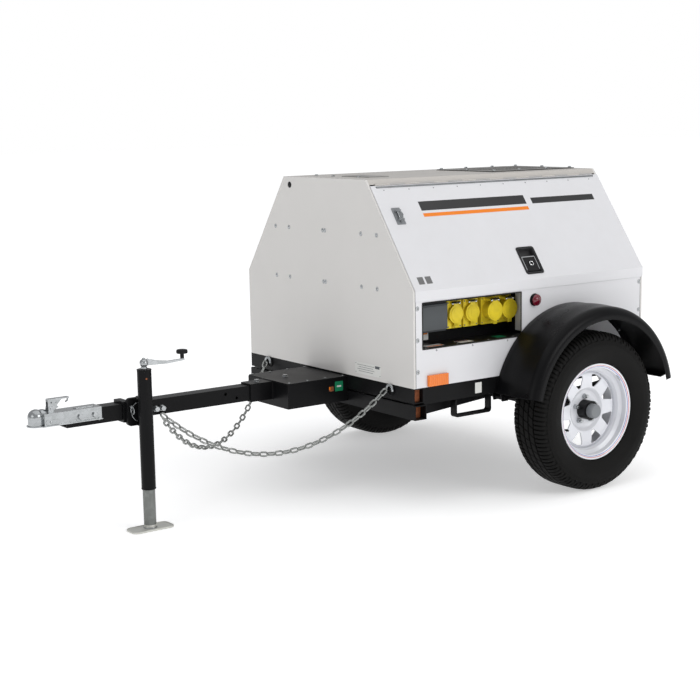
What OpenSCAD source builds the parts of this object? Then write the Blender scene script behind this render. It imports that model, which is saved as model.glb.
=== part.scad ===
// Towable diesel generator: single-axle trailer, sloped canopy, outlet recess, jack and coupler.
// Millimetres, +Z up, -X is the towing direction, -Y is the operator's side.
// The origin is on the ground under the centre of the outer box.

/* [Canopy] */
// Length of the canopy
canopy_l = 1326; // [1250:1:1600]
// Width of the canopy
canopy_w = 1225; // [1160:1:1230]
// Height of the vertical side below the sloping door
side_h = 395; // [380:1:480]
// Height of the canopy above the skid
canopy_h = 833; // [800:1:1000]
// Width of the flat roof
roof_w = 604; // [560:1:700]
// Thickness of the sheet metal
sheet_t = 2.5; // [2:0.5:3]
// Return flange of the end panels
end_flange = 11; // [8:1:16]
// Distance from the axle to the rear face of the canopy
canopy_tail = 485; // [440:1:560]
// Height of the vertical lip at the foot of each door
door_lip = 42; // [30:1:60]

/* [Outlet recess] */
// Width of the opening in the side panel
recess_w = 538; // [520:1:560]
// Height of the opening in the side panel
recess_h = 189; // [170:1:195]
// Depth of the recess tray
recess_d = 148; // [120:1:160]
// Distance from the canopy's front face to the opening
recess_x = 47; // [40:1:60]

/* [Frame] */
// Height of the skid rails
rail_h = 70; // [60:1:80]
// Width of the skid rails
rail_w = 50; // [45:1:60]
// Side of the square tube under the front of the skid
cross_tube = 60; // [50:1:64]
// Wall of the frame tubes
tube_t = 4; // [3:0.5:5]

/* [Running gear] */
// Outer diameter of the tyre
tyre_d = 688; // [640:1:700]
// Width of the tyre
tyre_w = 205; // [175:1:210]
// Distance between the tyre centres
track = 1468; // [1462:1:1600]
// Diameter of the rim flange
rim_d = 416; // [390:1:430]
// Diameter of the circle of the wheel studs
stud_pcd = 114.3; // [100:0.1:120]
// Radial gap between the tyre and the fender
fender_gap = 92; // [80:1:110]
// Width of the fender
fender_w = 238; // [232:1:260]
// Side of the square axle beam
axle_w = 50; // [40:1:60]
// Half of the leaf spring's length between its eyes
spring_half = 350; // [320:1:380]

/* [Tongue] */
// Distance from the axle to the centre of the towing ball
ball_reach = 2205; // [2100:1:2500]
// Diameter of the towing ball that the coupler takes
ball_d = 50.8; // [45:0.1:60]
// Side of the square tongue tube
tongue_w = 63.5; // [50:0.5:70]
// Height of the tongue's centre line
tongue_z = 472; // [455:1:485]
// Length of the box on the tongue
box_l = 306; // [250:1:340]
// Width of the box on the tongue
box_w = 308; // [200:1:340]

/* [Jack] */
// Distance from the axle to the jack
jack_reach = 1788; // [1740:1:1830]
// Distance from the tongue's centre line to the jack's axis
jack_side = 105; // [95:1:120]
// Diameter of the outer jack tube
jack_d = 57; // [50:1:64]
// Height of the top of the outer jack tube
jack_top = 647; // [600:1:700]
// Height of the bottom of the outer jack tube
jack_bottom = 164; // [140:1:200]
// Length of the crank arm
crank_l = 172; // [150:1:180]

/* [Chains] */
// Diameter of the chain wire
wire_d = 8; // [6:0.5:9]
// Inside length of a chain link
link_pitch = 31; // [28:1:34]
// Hanging length of the chain on the operator's side
chain_near_l = 1049; // [1000:1:1060]
// Hanging length of the chain on the far side
chain_far_l = 1104; // [1050:1:1120]

/* [Fits] */
// Radial clearance of pins that turn
pin_gap = 0.05; // [0.02:0.01:0.1]
// Gap between parts that move past each other
move_gap = 1; // [0.5:0.1:2]

/* [Hidden] */
$fn = 48;

// Places along X: the box is centred on the origin
coupler_nose = 36;
lamp_t = 28;
axle_x = (ball_reach + coupler_nose - canopy_tail - lamp_t) / 2;
ball_x = axle_x - ball_reach;
canopy_x1 = axle_x + canopy_tail;
canopy_x0 = canopy_x1 - canopy_l;
jack_x = axle_x - jack_reach;
panel_x0 = canopy_x0 + end_flange;
panel_x1 = canopy_x1 - end_flange;

// Heights
hub_z = tyre_d / 2;
skid_top = 519;
skid_z0 = skid_top - rail_h;
knee_z = skid_top + side_h;
top_z = skid_top + canopy_h;

// Half widths
side_y = canopy_w / 2;
roof_y = roof_w / 2;
tyre_y = track / 2;

// The sloping side: the direction down the slope, its outward normal and its angle
slope_run = side_y - roof_y;
slope_rise = top_z - knee_z;
slope_l = norm([slope_run, slope_rise]);
slope_a = atan2(slope_rise, slope_run);
down = [-slope_run, -slope_rise] / slope_l;
out = [-slope_rise, slope_run] / slope_l;

// The door stands proud of the canopy's outline
door_proud = move_gap + sheet_t;
door_s0 = 34.5;
door_s1 = slope_l;
hinge_s = 30;
hinge_n = 3;
hinge_d = 8;
hinge_pin_d = 4;
hinge_knuckles = 16;
hinge_x0 = canopy_x0 + 36;
hinge_x1 = canopy_x1 - 34;

// ---------- small helpers ----------
// A box between two corners
module span(a, b) { translate(a) cube(b - a); }
// Round bars along the axes
module rod_x(d, x0, x1, y, z) { translate([x0, y, z]) rotate([0, 90, 0]) cylinder(d = d, h = x1 - x0); }
module rod_y(d, y0, y1, x, z) { translate([x, y0, z]) rotate([-90, 0, 0]) cylinder(d = d, h = y1 - y0); }
module rod_z(d, z0, z1, x, y) { translate([x, y, z0]) cylinder(d = d, h = z1 - z0); }
// A flat outline in Y and Z, carried along X, or in X and Z, carried along Y
module carry_x(x0, x1) { translate([x0, 0, 0]) rotate([90, 0, 90]) linear_extrude(x1 - x0) children(); }
module carry_y(y0, y1) { translate([0, y1, 0]) rotate([90, 0, 0]) linear_extrude(y1 - y0) children(); }
// The same piece on both sides
module both_sides() { children(); mirror([0, 1, 0]) children(); }
// A rectangle with round corners, centred
module round_rect(l, w, r) {
  square([l - 2 * r, w], center = true);
  square([l, w - 2 * r], center = true);
  for (x = [-1, 1], y = [-1, 1]) translate([x * (l / 2 - r), y * (w / 2 - r)]) circle(r);
}
// A polygon grown outwards by d, for a counter-clockwise list of points
function edge_normal(a, b) = let(v = b - a) [v.y, -v.x] / norm(v);
function grown(p, d) = [
  for (i = [0:len(p) - 1])
    let(a = p[(i + len(p) - 1) % len(p)], b = p[i], c = p[(i + 1) % len(p)],
        m = edge_normal(a, b), n = edge_normal(b, c))
    b + (m + n) * d / (1 + m * n)
];
// A polygon with its corners rounded by r
function rounded(p, r, steps = 5) = [
  for (i = [0:len(p) - 1])
    let(a = p[(i + len(p) - 1) % len(p)], b = p[i], c = p[(i + 1) % len(p)],
        u = (a - b) / norm(a - b), v = (c - b) / norm(c - b), half = acos(u * v) / 2,
        o = b + (u + v) / norm(u + v) * r / sin(half),
        s = b + u * r / tan(half) - o, e = b + v * r / tan(half) - o,
        a0 = atan2(s.y, s.x), turn = atan2(e.y, e.x) - a0,
        da = turn > 180 ? turn - 360 : turn < -180 ? turn + 360 : turn)
    for (k = [0:steps]) o + r * [cos(a0 + da * k / steps), sin(a0 + da * k / steps)]
];
// A square tube along X or Y
module square_tube_x(w, h, t, x0, x1, y, z) {
  difference() {
    span([x0, y - w / 2, z - h / 2], [x1, y + w / 2, z + h / 2]);
    span([x0 - 1, y - w / 2 + t, z - h / 2 + t], [x1 + 1, y + w / 2 - t, z + h / 2 - t]);
  }
}
module square_tube_y(w, h, t, y0, y1, x, z) {
  difference() {
    span([x - w / 2, y0, z - h / 2], [x + w / 2, y1, z + h / 2]);
    span([x - w / 2 + t, y0 - 1, z - h / 2 + t], [x + w / 2 - t, y1 + 1, z + h / 2 - t]);
  }
}
// A hexagon-head bolt head with a washer, standing on the local XY plane
module hex_head(size) {
  cylinder(d = size * 2.1, h = size * 0.2);
  translate([0, 0, size * 0.2]) cylinder(d = size * 1.9, h = size * 0.6, $fn = 6);
}
// A domed screw head, standing on the local XY plane
module dome_head(d) {
  intersection() {
    translate([0, 0, -d * 0.35]) sphere(d = d * 1.22);
    cylinder(d = d * 2, h = d);
  }
}
// Turns the local +Z towards -X, -Y or +X
module face_front(x, y, z) { translate([x, y, z]) rotate([0, -90, 0]) children(); }
module face_rear(x, y, z) { translate([x, y, z]) rotate([0, 90, 0]) children(); }
module face_left(x, y, z) { translate([x, y, z]) rotate([90, 0, 0]) children(); }

// ---------- the canopy's outlines ----------
function canopy_outline() = [
  [-side_y, skid_top], [side_y, skid_top], [side_y, knee_z], [roof_y, top_z],
  [-roof_y, top_z], [-side_y, knee_z]
];
// A point on the left slope, s down from the roof's edge and n outwards
function on_outline(s, n) = [-roof_y, top_z] + down * s + out * n;
// The same for the knee line, n outwards
function knee_at(n) = [-side_y - n, knee_z + n * (1 - sin(slope_a)) / cos(slope_a)];
// Places children on the left slope: local +Z is outwards, local +Y is up the slope
module on_slope(x, s, n) {
  translate([x, on_outline(s, n).x, on_outline(s, n).y]) rotate([slope_a, 0, 0]) children();
}

module end_panel() {
  difference() {
    linear_extrude(end_flange) polygon(canopy_outline());
    translate([0, 0, sheet_t]) linear_extrude(end_flange) polygon(grown(canopy_outline(), -sheet_t));
  }
}

// Bolts of the end panels: across from the middle, and height
bolt_rows = [knee_z - 8, knee_z + 214];
bolt_cols = [8, 268, 376];
plug_at = [255, top_z - 36];

module front_panel() {
  color("gainsboro") difference() {
    translate([canopy_x0, 0, 0]) rotate([90, 0, 90]) end_panel();
    rod_x(20, canopy_x0 - 1, canopy_x0 + sheet_t + 1, plug_at.x, plug_at.y);
  }
}

louvre_n = 9;
louvre_pitch = 42;
louvre_l = 300;
louvre_h = 16;
louvre_z0 = skid_top + 130;
module louvre_slots(x0, x1) {
  for (side = [-1, 1], i = [0:louvre_n - 1])
    span([x0, side * 180 - louvre_l / 2, louvre_z0 + i * louvre_pitch],
         [x1, side * 180 + louvre_l / 2, louvre_z0 + i * louvre_pitch + louvre_h]);
}
module louvre_hoods() {
  for (side = [-1, 1], i = [0:louvre_n - 1])
    translate([0, side * 180 + louvre_l / 2, louvre_z0 + i * louvre_pitch])
      rotate([90, 0, 0]) linear_extrude(louvre_l)
        polygon([[-1, louvre_h + 3], [0, louvre_h + 3], [12, 2], [12, 0], [10.5, 0], [0, louvre_h], [-1, louvre_h]]);
}
module rear_panel() {
  color("gainsboro") {
    difference() {
      translate([canopy_x1, 0, 0]) mirror([1, 0, 0]) rotate([90, 0, 90]) end_panel();
      louvre_slots(canopy_x1 - sheet_t - 1, canopy_x1 + 1);
    }
    translate([canopy_x1, 0, 0]) louvre_hoods();
  }
}

// A side panel: the vertical sheet with a ledge under the door's edge
panel_top = knee_z - 9;
ledge_w = 26;
module side_sheet() {
  carry_x(panel_x0, panel_x1) polygon([
    [-side_y, skid_top], [-side_y + ledge_w, skid_top], [-side_y + ledge_w, skid_top + sheet_t],
    [-side_y + sheet_t, skid_top + sheet_t], [-side_y + sheet_t, panel_top - sheet_t],
    [-side_y + ledge_w, panel_top - sheet_t], [-side_y + ledge_w, panel_top], [-side_y, panel_top]
  ]);
}
recess_x0 = canopy_x0 + recess_x;
recess_x1 = recess_x0 + recess_w;
recess_z0 = skid_top + 157;
recess_z1 = recess_z0 + recess_h;
stop_x = recess_x1 + 77;
stop_z = skid_top + 306;
stop_hole_d = 23;
module side_panel_left() {
  color("whitesmoke") difference() {
    side_sheet();
    span([recess_x0, -side_y - 1, recess_z0], [recess_x1, -side_y + sheet_t + 1, recess_z1]);
    rod_y(stop_hole_d, -side_y - 1, -side_y + sheet_t + 1, stop_x, stop_z);
  }
}
side_vent_x = axle_x + 60;
module side_panel_right() {
  color("whitesmoke") mirror([0, 1, 0]) difference() {
    side_sheet();
    for (i = [0:6])
      span([side_vent_x - 150, -side_y - 1, skid_top + 280 + i * 12],
           [side_vent_x + 150, -side_y + sheet_t + 1, skid_top + 285 + i * 12]);
  }
}

roof_skirt = 26;
hatch_x0 = canopy_x1 - 526;
hatch_l = 500;
hatch_w = 400;
module roof_panel() {
  outer = [on_outline(roof_skirt, 0), [-roof_y, top_z], [roof_y, top_z],
           [-on_outline(roof_skirt, 0).x, on_outline(roof_skirt, 0).y]];
  bend = sheet_t * tan(slope_a / 2);
  inner = [[roof_y - bend, top_z - sheet_t], [-roof_y + bend, top_z - sheet_t]];
  skirt_in = on_outline(roof_skirt, -sheet_t);
  color("gainsboro") difference() {
    carry_x(panel_x0, panel_x1) polygon([
      outer[0], outer[1], outer[2], outer[3], [-skirt_in.x, skirt_in.y], inner[0], inner[1], skirt_in
    ]);
    span([hatch_x0 + 30, -hatch_w / 2 + 30, top_z - sheet_t - 1],
         [hatch_x0 + hatch_l - 30, hatch_w / 2 - 30, top_z + 1]);
  }
}
hatch_t = 4;
module roof_hatch() {
  color("silver") {
    difference() {
      span([hatch_x0, -hatch_w / 2, top_z], [hatch_x0 + hatch_l, hatch_w / 2, top_z + hatch_t]);
      span([hatch_x0 + 45, -hatch_w / 2 + 45, top_z - 1],
           [hatch_x0 + hatch_l - 45, hatch_w / 2 - 45, top_z + hatch_t + 1]);
    }
    for (i = [0:13])
      span([hatch_x0 + 45, -hatch_w / 2 + 57 + i * 22, top_z],
           [hatch_x0 + hatch_l - 45, -hatch_w / 2 + 61 + i * 22, top_z + hatch_t]);
    for (i = [1:3])
      span([hatch_x0 + i * hatch_l / 4 - 3, -hatch_w / 2 + 40, top_z],
           [hatch_x0 + i * hatch_l / 4 + 3, hatch_w / 2 - 40, top_z + hatch_t]);
  }
}

// ---------- doors, hinges and latches ----------
door_x0 = canopy_x0 + 10;
door_x1 = canopy_x1;
return_d = 18;
latch_x = (canopy_x0 + canopy_x1) / 2 + 16;
latch_s = slope_l - 89;
latch_w = 102;
latch_h = 134;
module door_skin() {
  lip_z = knee_z - door_lip;
  inner = door_proud - sheet_t;
  carry_x(door_x0, door_x1) polygon([
    on_outline(door_s0, inner), on_outline(door_s0, door_proud), knee_at(door_proud),
    [-side_y - door_proud, lip_z], [-side_y - inner, lip_z], knee_at(inner)
  ]);
}
module door_returns() {
  inner = door_proud - sheet_t;
  for (x = [panel_x0 + move_gap, panel_x1 - move_gap - sheet_t])
    carry_x(x, x + sheet_t) polygon([
      on_outline(door_s0 + 16, inner), on_outline(door_s0 + 16, inner - return_d),
      on_outline(slope_l - 44, inner - return_d), on_outline(slope_l - 44, inner)
    ]);
}
module latch_dish() {
  difference() {
    union() {
      linear_extrude(3) round_rect(latch_w, latch_h, 12);
      translate([0, 0, -22]) linear_extrude(22.5) round_rect(latch_w - 14, latch_h - 14, 8);
    }
    translate([0, 0, -20]) linear_extrude(30) round_rect(latch_w - 18, latch_h - 18, 6);
  }
  translate([-latch_w / 2 + 8, -paddle_drop, -6]) rotate([0, 90, 0]) cylinder(d = 4, h = latch_w - 16);
}
paddle_drop = 48;
paddle_h = 70;
module paddle() {
  difference() {
    union() {
      translate([-latch_w / 2 + 12, -paddle_drop, -7]) cube([latch_w - 24, paddle_h, 5]);
      translate([-latch_w / 2 + 12, -paddle_drop, -6]) rotate([0, 90, 0]) cylinder(d = 8, h = latch_w - 24);
      translate([0, -16, -2]) cylinder(d = 26, h = 2);
      translate([0, -16, 0]) difference() { cylinder(d = 22, h = 3); translate([0, 0, 1]) cylinder(d = 16, h = 3); }
    }
    translate([-latch_w / 2, -paddle_drop, -6]) rotate([0, 90, 0]) cylinder(d = 4 + 2 * pin_gap, h = latch_w);
  }
}
module door() {
  difference() {
    union() { door_skin(); door_returns(); }
    on_slope(latch_x, latch_s, door_proud) translate([0, 0, -sheet_t - 1])
      linear_extrude(sheet_t + 2) round_rect(latch_w - 14, latch_h - 14, 8);
  }
  color("black") on_slope(latch_x, latch_s, door_proud) latch_dish();
  color("silver") on_slope(canopy_x0 + 87, 186, door_proud) keeper();
  hinge_leaf();
}
// Small zinc hasp with a loop for a padlock
module keeper() {
  linear_extrude(2.5) round_rect(44, 80, 3);
  for (y = [-24, 18]) translate([-14, y, 2.5]) cube([28, 6, 12]);
  translate([0, 27, 9]) rotate([90, 0, 0]) cylinder(d = 8, h = 58);
}
hinge_seg = (hinge_x1 - hinge_x0) / hinge_knuckles;
module hinge_leaf() {
  inner = door_proud - sheet_t;
  color("dimgray") difference() {
    union() {
      for (i = [1:2:hinge_knuckles - 1])
        translate([hinge_x0 + i * hinge_seg + 0.3, 0, 0]) {
          translate([0, on_outline(hinge_s, hinge_n).x, on_outline(hinge_s, hinge_n).y])
            rotate([0, 90, 0]) cylinder(d = hinge_d, h = hinge_seg - 0.6);
          carry_x(0, hinge_seg - 0.6) polygon([
            on_outline(hinge_s, inner), on_outline(door_s0 + 20, inner),
            on_outline(door_s0 + 20, inner - 1.5), on_outline(hinge_s, inner - 1.5)
          ]);
        }
    }
    translate([hinge_x0, on_outline(hinge_s, hinge_n).x, on_outline(hinge_s, hinge_n).y])
      rotate([0, 90, 0]) cylinder(d = hinge_pin_d + 2 * pin_gap, h = hinge_x1 - hinge_x0);
  }
}
module hinge_fixed() {
  for (i = [0:2:hinge_knuckles - 1])
    translate([hinge_x0 + i * hinge_seg + 0.3, 0, 0]) {
      translate([0, on_outline(hinge_s, hinge_n).x, on_outline(hinge_s, hinge_n).y])
        rotate([0, 90, 0]) cylinder(d = hinge_d, h = hinge_seg - 0.6);
      carry_x(0, hinge_seg - 0.6) polygon([
        on_outline(hinge_s + 1.5, hinge_n), on_outline(hinge_s + 1.5, -sheet_t - 1.5),
        on_outline(6, -sheet_t - 1.5), on_outline(6, -sheet_t), on_outline(hinge_s - 1.5, -sheet_t),
        on_outline(hinge_s - 1.5, hinge_n)
      ]);
    }
  translate([hinge_x0 + 0.3, on_outline(hinge_s, hinge_n).x, on_outline(hinge_s, hinge_n).y])
    rotate([0, 90, 0]) cylinder(d = hinge_pin_d, h = hinge_x1 - hinge_x0 - 0.6);
}
module door_left() { color("whitesmoke") door(); }
module door_right() { color("whitesmoke") mirror([0, 1, 0]) door(); }
module door_hinges() { color("dimgray") both_sides() hinge_fixed(); }
module latch_left() { color("black") on_slope(latch_x, latch_s, door_proud) paddle(); }
module latch_right() { mirror([0, 1, 0]) color("black") on_slope(latch_x, latch_s, door_proud) paddle(); }

// ---------- the outlet recess ----------
tray_x0 = recess_x0 - 6;
tray_x1 = recess_x1 + 62;
tray_y0 = -side_y + sheet_t;
tray_y1 = -side_y + recess_d;
plate_t = 3;
plate_y = tray_y1 - 36;
socket_z0 = recess_z0 + 50;
socket_z1 = recess_z0 + 166;
module outlet_tray() {
  color([0.08, 0.08, 0.09]) difference() {
    span([tray_x0, tray_y0, recess_z0 - sheet_t], [tray_x1, tray_y1, recess_z1 + 4]);
    span([tray_x0 + sheet_t, tray_y0 - 1, recess_z0], [tray_x1 - sheet_t, tray_y1 - sheet_t, recess_z1 + 2]);
  }
}
// Centres of the four yellow covers, their plate widths and their sizes
socket_x = [for (x = [261, 352, 454, 541]) recess_x0 + x];
socket_w = [80, 80, 88, 82];
socket_stand = [6, 6, 34, 30];
cap_d = [76, 76, 84, 84];
cap_z = socket_z0 + 60;
hinge_h = 46;
flap_x0 = recess_x0 + 83;
flap_x1 = recess_x0 + 213;
flap_hinge_y = plate_y - 5.5;
flap_hinge_z = socket_z1 - 8;
module outlet_sockets() {
  color("dimgray") {
    span([flap_x0 - 4, plate_y, socket_z0 - 5], [flap_x1 + 4, tray_y1 - sheet_t, socket_z1]);
    for (x = [flap_x0 - 4, flap_x1 + 0.5])
      span([x, plate_y - 10, flap_hinge_z - 5], [x + 3.5, plate_y, flap_hinge_z + 5]);
    rod_x(4, flap_x0 - 4, flap_x1 + 4, flap_hinge_y, flap_hinge_z);
  }
  color("gold") for (i = [0:3]) {
    span([socket_x[i] - socket_w[i] / 2, plate_y, socket_z0], [socket_x[i] + socket_w[i] / 2, tray_y1 - sheet_t, socket_z1]);
    rod_y(cap_d[i] - 8, plate_y - socket_stand[i], plate_y, socket_x[i], cap_z);
    for (side = [-1, 1])
      span([socket_x[i] + side * 19 - 3, plate_y - socket_stand[i] - 3, cap_z + hinge_h - 6],
           [socket_x[i] + side * 19 + 3, plate_y, cap_z + hinge_h + 6]);
    rod_x(3, socket_x[i] - 22, socket_x[i] + 22, plate_y - socket_stand[i] - 5, cap_z + hinge_h);
    for (side = [-1, 1])
      rod_y(11, plate_y - socket_stand[i] - 7, plate_y - socket_stand[i] + 2,
            socket_x[i] + side * 19, cap_z + hinge_h);
  }
}
module socket_cover(i) {
  y1 = plate_y - socket_stand[i] - 0.6;
  color("gold") difference() {
    union() {
      rod_y(cap_d[i], y1 - 9, y1, socket_x[i], cap_z);
      rod_y(cap_d[i] - 14, y1 - 11, y1 - 9, socket_x[i], cap_z);
      span([socket_x[i] - 13, y1 - 10, cap_z - 4], [socket_x[i] + 13, y1 - 1, cap_z + hinge_h]);
      span([socket_x[i] - 10, y1 - 8, cap_z - cap_d[i] / 2 - 14], [socket_x[i] + 10, y1 - 3, cap_z]);
      rod_x(9, socket_x[i] - 12.5, socket_x[i] + 12.5, plate_y - socket_stand[i] - 5, cap_z + hinge_h);
    }
    rod_x(3 + 2 * pin_gap, socket_x[i] - 30, socket_x[i] + 30, plate_y - socket_stand[i] - 5, cap_z + hinge_h);
  }
}
module socket_cover_1() { socket_cover(0); }
module socket_cover_2() { socket_cover(1); }
module socket_cover_3() { socket_cover(2); }
module socket_cover_4() { socket_cover(3); }
module breaker_flap() {
  color("gray") difference() {
    union() {
      span([flap_x0, plate_y - 14, socket_z0 + 4], [flap_x1, plate_y - 0.6, socket_z1 - 12]);
      rod_x(9, flap_x0, flap_x1, flap_hinge_y, flap_hinge_z);
      span([flap_x0, plate_y - 10, socket_z1 - 14], [flap_x1, plate_y - 6, flap_hinge_z]);
    }
    span([flap_x0 + 3, plate_y - 11.5, socket_z0 + 7], [flap_x1 - 3, plate_y, socket_z1 - 16]);
    rod_x(4 + 2 * pin_gap, flap_x0 - 1, flap_x1 + 1, flap_hinge_y, flap_hinge_z);
  }
}
stop_d = 50;
stop_gap = 9;
module stop_button() {
  color("crimson") {
    rod_y(stop_hole_d - 1, -side_y - stop_gap, -side_y + 34, stop_x, stop_z);
    face_left(stop_x, -side_y - stop_gap, stop_z) {
      cylinder(d1 = 34, d2 = stop_d, h = 6);
      translate([0, 0, 6]) dome_head(stop_d * 0.82);
    }
  }
}

// ---------- skid, frame and running gear ----------
front_rail_h = 62;
diag_w = 45;
module skid_frame() {
  color([0.09, 0.09, 0.1]) {
    both_sides() square_tube_x(rail_w, rail_h, tube_t, canopy_x0 + rail_w, canopy_x1 - rail_w,
                               -side_y + rail_w / 2, skid_top - rail_h / 2);
    square_tube_y(rail_w, front_rail_h, tube_t, -side_y, side_y, canopy_x0 + rail_w / 2, skid_top - front_rail_h / 2);
    square_tube_y(rail_w, rail_h, tube_t, -side_y, side_y, canopy_x1 - rail_w / 2, skid_top - rail_h / 2);
    for (x = [axle_x - 380, axle_x + 60])
      square_tube_y(rail_w, rail_w, tube_t, -side_y + rail_w, side_y - rail_w, x, skid_top - rail_w / 2);
  }
}
lower_z = skid_z0 - cross_tube / 2;
module lower_frame() {
  x1 = canopy_x0 + cross_tube;
  color([0.09, 0.09, 0.1]) {
    square_tube_y(cross_tube, cross_tube, tube_t, -side_y - 6, side_y + 6, canopy_x0 + cross_tube / 2, lower_z);
    both_sides() difference() {
      hull_beam([x1, -side_y + 40], [canopy_x1 - 60, -side_y + 320], diag_w, lower_z + cross_tube / 2 - diag_w, lower_z + cross_tube / 2);
      span([canopy_x0, -side_y, skid_z0 - 100], [x1, 0, skid_z0 + 1]);
    }
    square_tube_y(rail_w, rail_w, tube_t, -side_y + 300, side_y - 300, canopy_x1 - 35, skid_z0 - rail_w / 2);
  }
}
// A straight bar in plan from a to b, w wide, between two heights
module hull_beam(a, b, w, z0, z1) {
  v = (b - a) / norm(b - a);
  n = [-v.y, v.x] * w / 2;
  translate([0, 0, z0]) linear_extrude(z1 - z0) polygon([a - v * 30 + n, a - v * 30 - n, b - n, b + n]);
}
spring_y = side_y - rail_w / 2;
spring_w = 45;
eye_z = skid_z0 - 26;
leaf_t = 7;
leaf_n = 3;
seat_z = hub_z + axle_w / 2 + 4;
arch = eye_z + leaf_t / 2 - seat_z - leaf_t * (leaf_n + 1);
// Half lengths of the leaves, the main leaf first
leaf_half = [spring_half - 9.5, spring_half - 122, spring_half - 232];
function leaf_top(x) = seat_z + leaf_t * (leaf_n + 1) + arch * x * x / (spring_half * spring_half);
// The right half of the pack's underside, from the end of the main leaf inwards
function leaf_under() = [
  for (i = [0:leaf_n - 1], k = [0:4])
    let(x0 = leaf_half[i], x1 = i < leaf_n - 1 ? leaf_half[i + 1] : 0, x = x0 + (x1 - x0) * k / 4)
    if (i < leaf_n - 1 || k < 4) [x, leaf_top(x) - leaf_t * (i + 1)]
];
module leaf_springs() {
  under = leaf_under();
  n = len(under) - 1;
  color([0.12, 0.12, 0.13]) both_sides() translate([axle_x, 0, 0]) difference() {
    union() {
      carry_y(-spring_y - spring_w / 2, -spring_y + spring_w / 2) polygon(concat(
        [for (k = [-10:10]) let(x = leaf_half[0] * k / 10) [x, leaf_top(x)]],
        under, [for (i = [n:-1:0]) [-under[i].x, under[i].y]]
      ));
      for (side = [-1, 1]) rod_y(28, -spring_y - spring_w / 2, -spring_y + spring_w / 2, side * spring_half, eye_z);
    }
    for (side = [-1, 1]) rod_y(14.1, -spring_y - spring_w, -spring_y + spring_w, side * spring_half, eye_z);
  }
}
module spring_hangers() {
  color([0.1, 0.1, 0.11]) both_sides() for (side = [-1, 1]) {
    for (y = [-spring_y - spring_w / 2 - 7, -spring_y + spring_w / 2 + 1])
      carry_y(y, y + 6) translate([axle_x + side * spring_half, 0]) polygon([
        [-28, skid_z0], [-16, eye_z - 16], [16, eye_z - 16], [28, skid_z0]
      ]);
    rod_y(14, -spring_y - spring_w / 2 - 12, -spring_y + spring_w / 2 + 12, axle_x + side * spring_half, eye_z);
    rod_y(22, -spring_y - spring_w / 2 - 14, -spring_y - spring_w / 2 - 7, axle_x + side * spring_half, eye_z);
  }
}
clamp_x = 42;
clamp_rod = 11;
module spring_clamps() {
  color("silver") both_sides() {
    for (x = [-clamp_x, clamp_x], y = [-1, 1])
      rod_z(clamp_rod, hub_z - axle_w / 2 - 20, seat_z + leaf_t * (leaf_n + 1) + 8, axle_x + x, -spring_y + y * (spring_w / 2 + 8));
    for (x = [-clamp_x, clamp_x])
      rod_y(clamp_rod, -spring_y - spring_w / 2 - 8, -spring_y + spring_w / 2 + 8, axle_x + x, seat_z + leaf_t * (leaf_n + 1) + 8);
    span([axle_x - clamp_x - 14, -spring_y - spring_w / 2 - 18, hub_z - axle_w / 2 - 9],
         [axle_x + clamp_x + 14, -spring_y + spring_w / 2 + 18, hub_z - axle_w / 2 - 0.2]);
  }
}
spindle_d = 32;
hub_y0 = tyre_y - 62;
module axle_beam() {
  color([0.1, 0.1, 0.11]) {
    square_tube_y(axle_w, axle_w, 6, -hub_y0 + 8, hub_y0 - 8, axle_x, hub_z);
    both_sides() {
      rod_y(spindle_d, -tyre_y - 36, -hub_y0 + 30, axle_x, hub_z);
      span([axle_x - 20, -hub_y0 + 9, hub_z - 20], [axle_x + 20, -hub_y0 + 40, hub_z + 20]);
      span([axle_x - 26, -spring_y - spring_w / 2, hub_z + axle_w / 2], [axle_x + 26, -spring_y + spring_w / 2, seat_z + leaf_t - 0.2]);
    }
  }
}
// Tyre: crowned tread, round shoulders and a bulged side wall, hollow inside
tread_r = tyre_d / 2;
bead_r = rim_d / 2 - 14;
module tyre_shape() {
  h = tyre_w / 2;
  r = rim_d / 2;
  half = [[tread_r - 1, h - 45], [tread_r - 6, h - 28], [tread_r - 18, h - 14],
          [tread_r - 36, h - 6], [tread_r - 62, h], [tread_r - 88, h - 2], [tread_r - 112, h - 10],
          [tread_r - 130, h - 20], [r + 3, rim_half - 2], [r + 0.5, rim_half - 4.6],
          [bead_r, rim_half - 10.6], [bead_r, h - 42], [bead_r + 12, h - 42], [tread_r - 110, h - 24],
          [tread_r - 70, h - 14], [tread_r - 30, h - 30], [tread_r - 14, h - 50]];
  n = len(half) - 1;
  rotate_extrude($fn = 96) polygon(concat(
    [[tread_r, 0]], half, [[tread_r - 12, 0]], [for (i = [n:-1:0]) [half[i].x, -half[i].y]]
  ));
}
module on_wheel(side) { translate([axle_x, side * tyre_y, hub_z]) rotate([-90 * side, 0, 0]) children(); }
module tyre(side) { color([0.06, 0.06, 0.065]) on_wheel(side) tyre_shape(); }
module tyre_left() { tyre(-1); }
module tyre_right() { tyre(1); }
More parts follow.
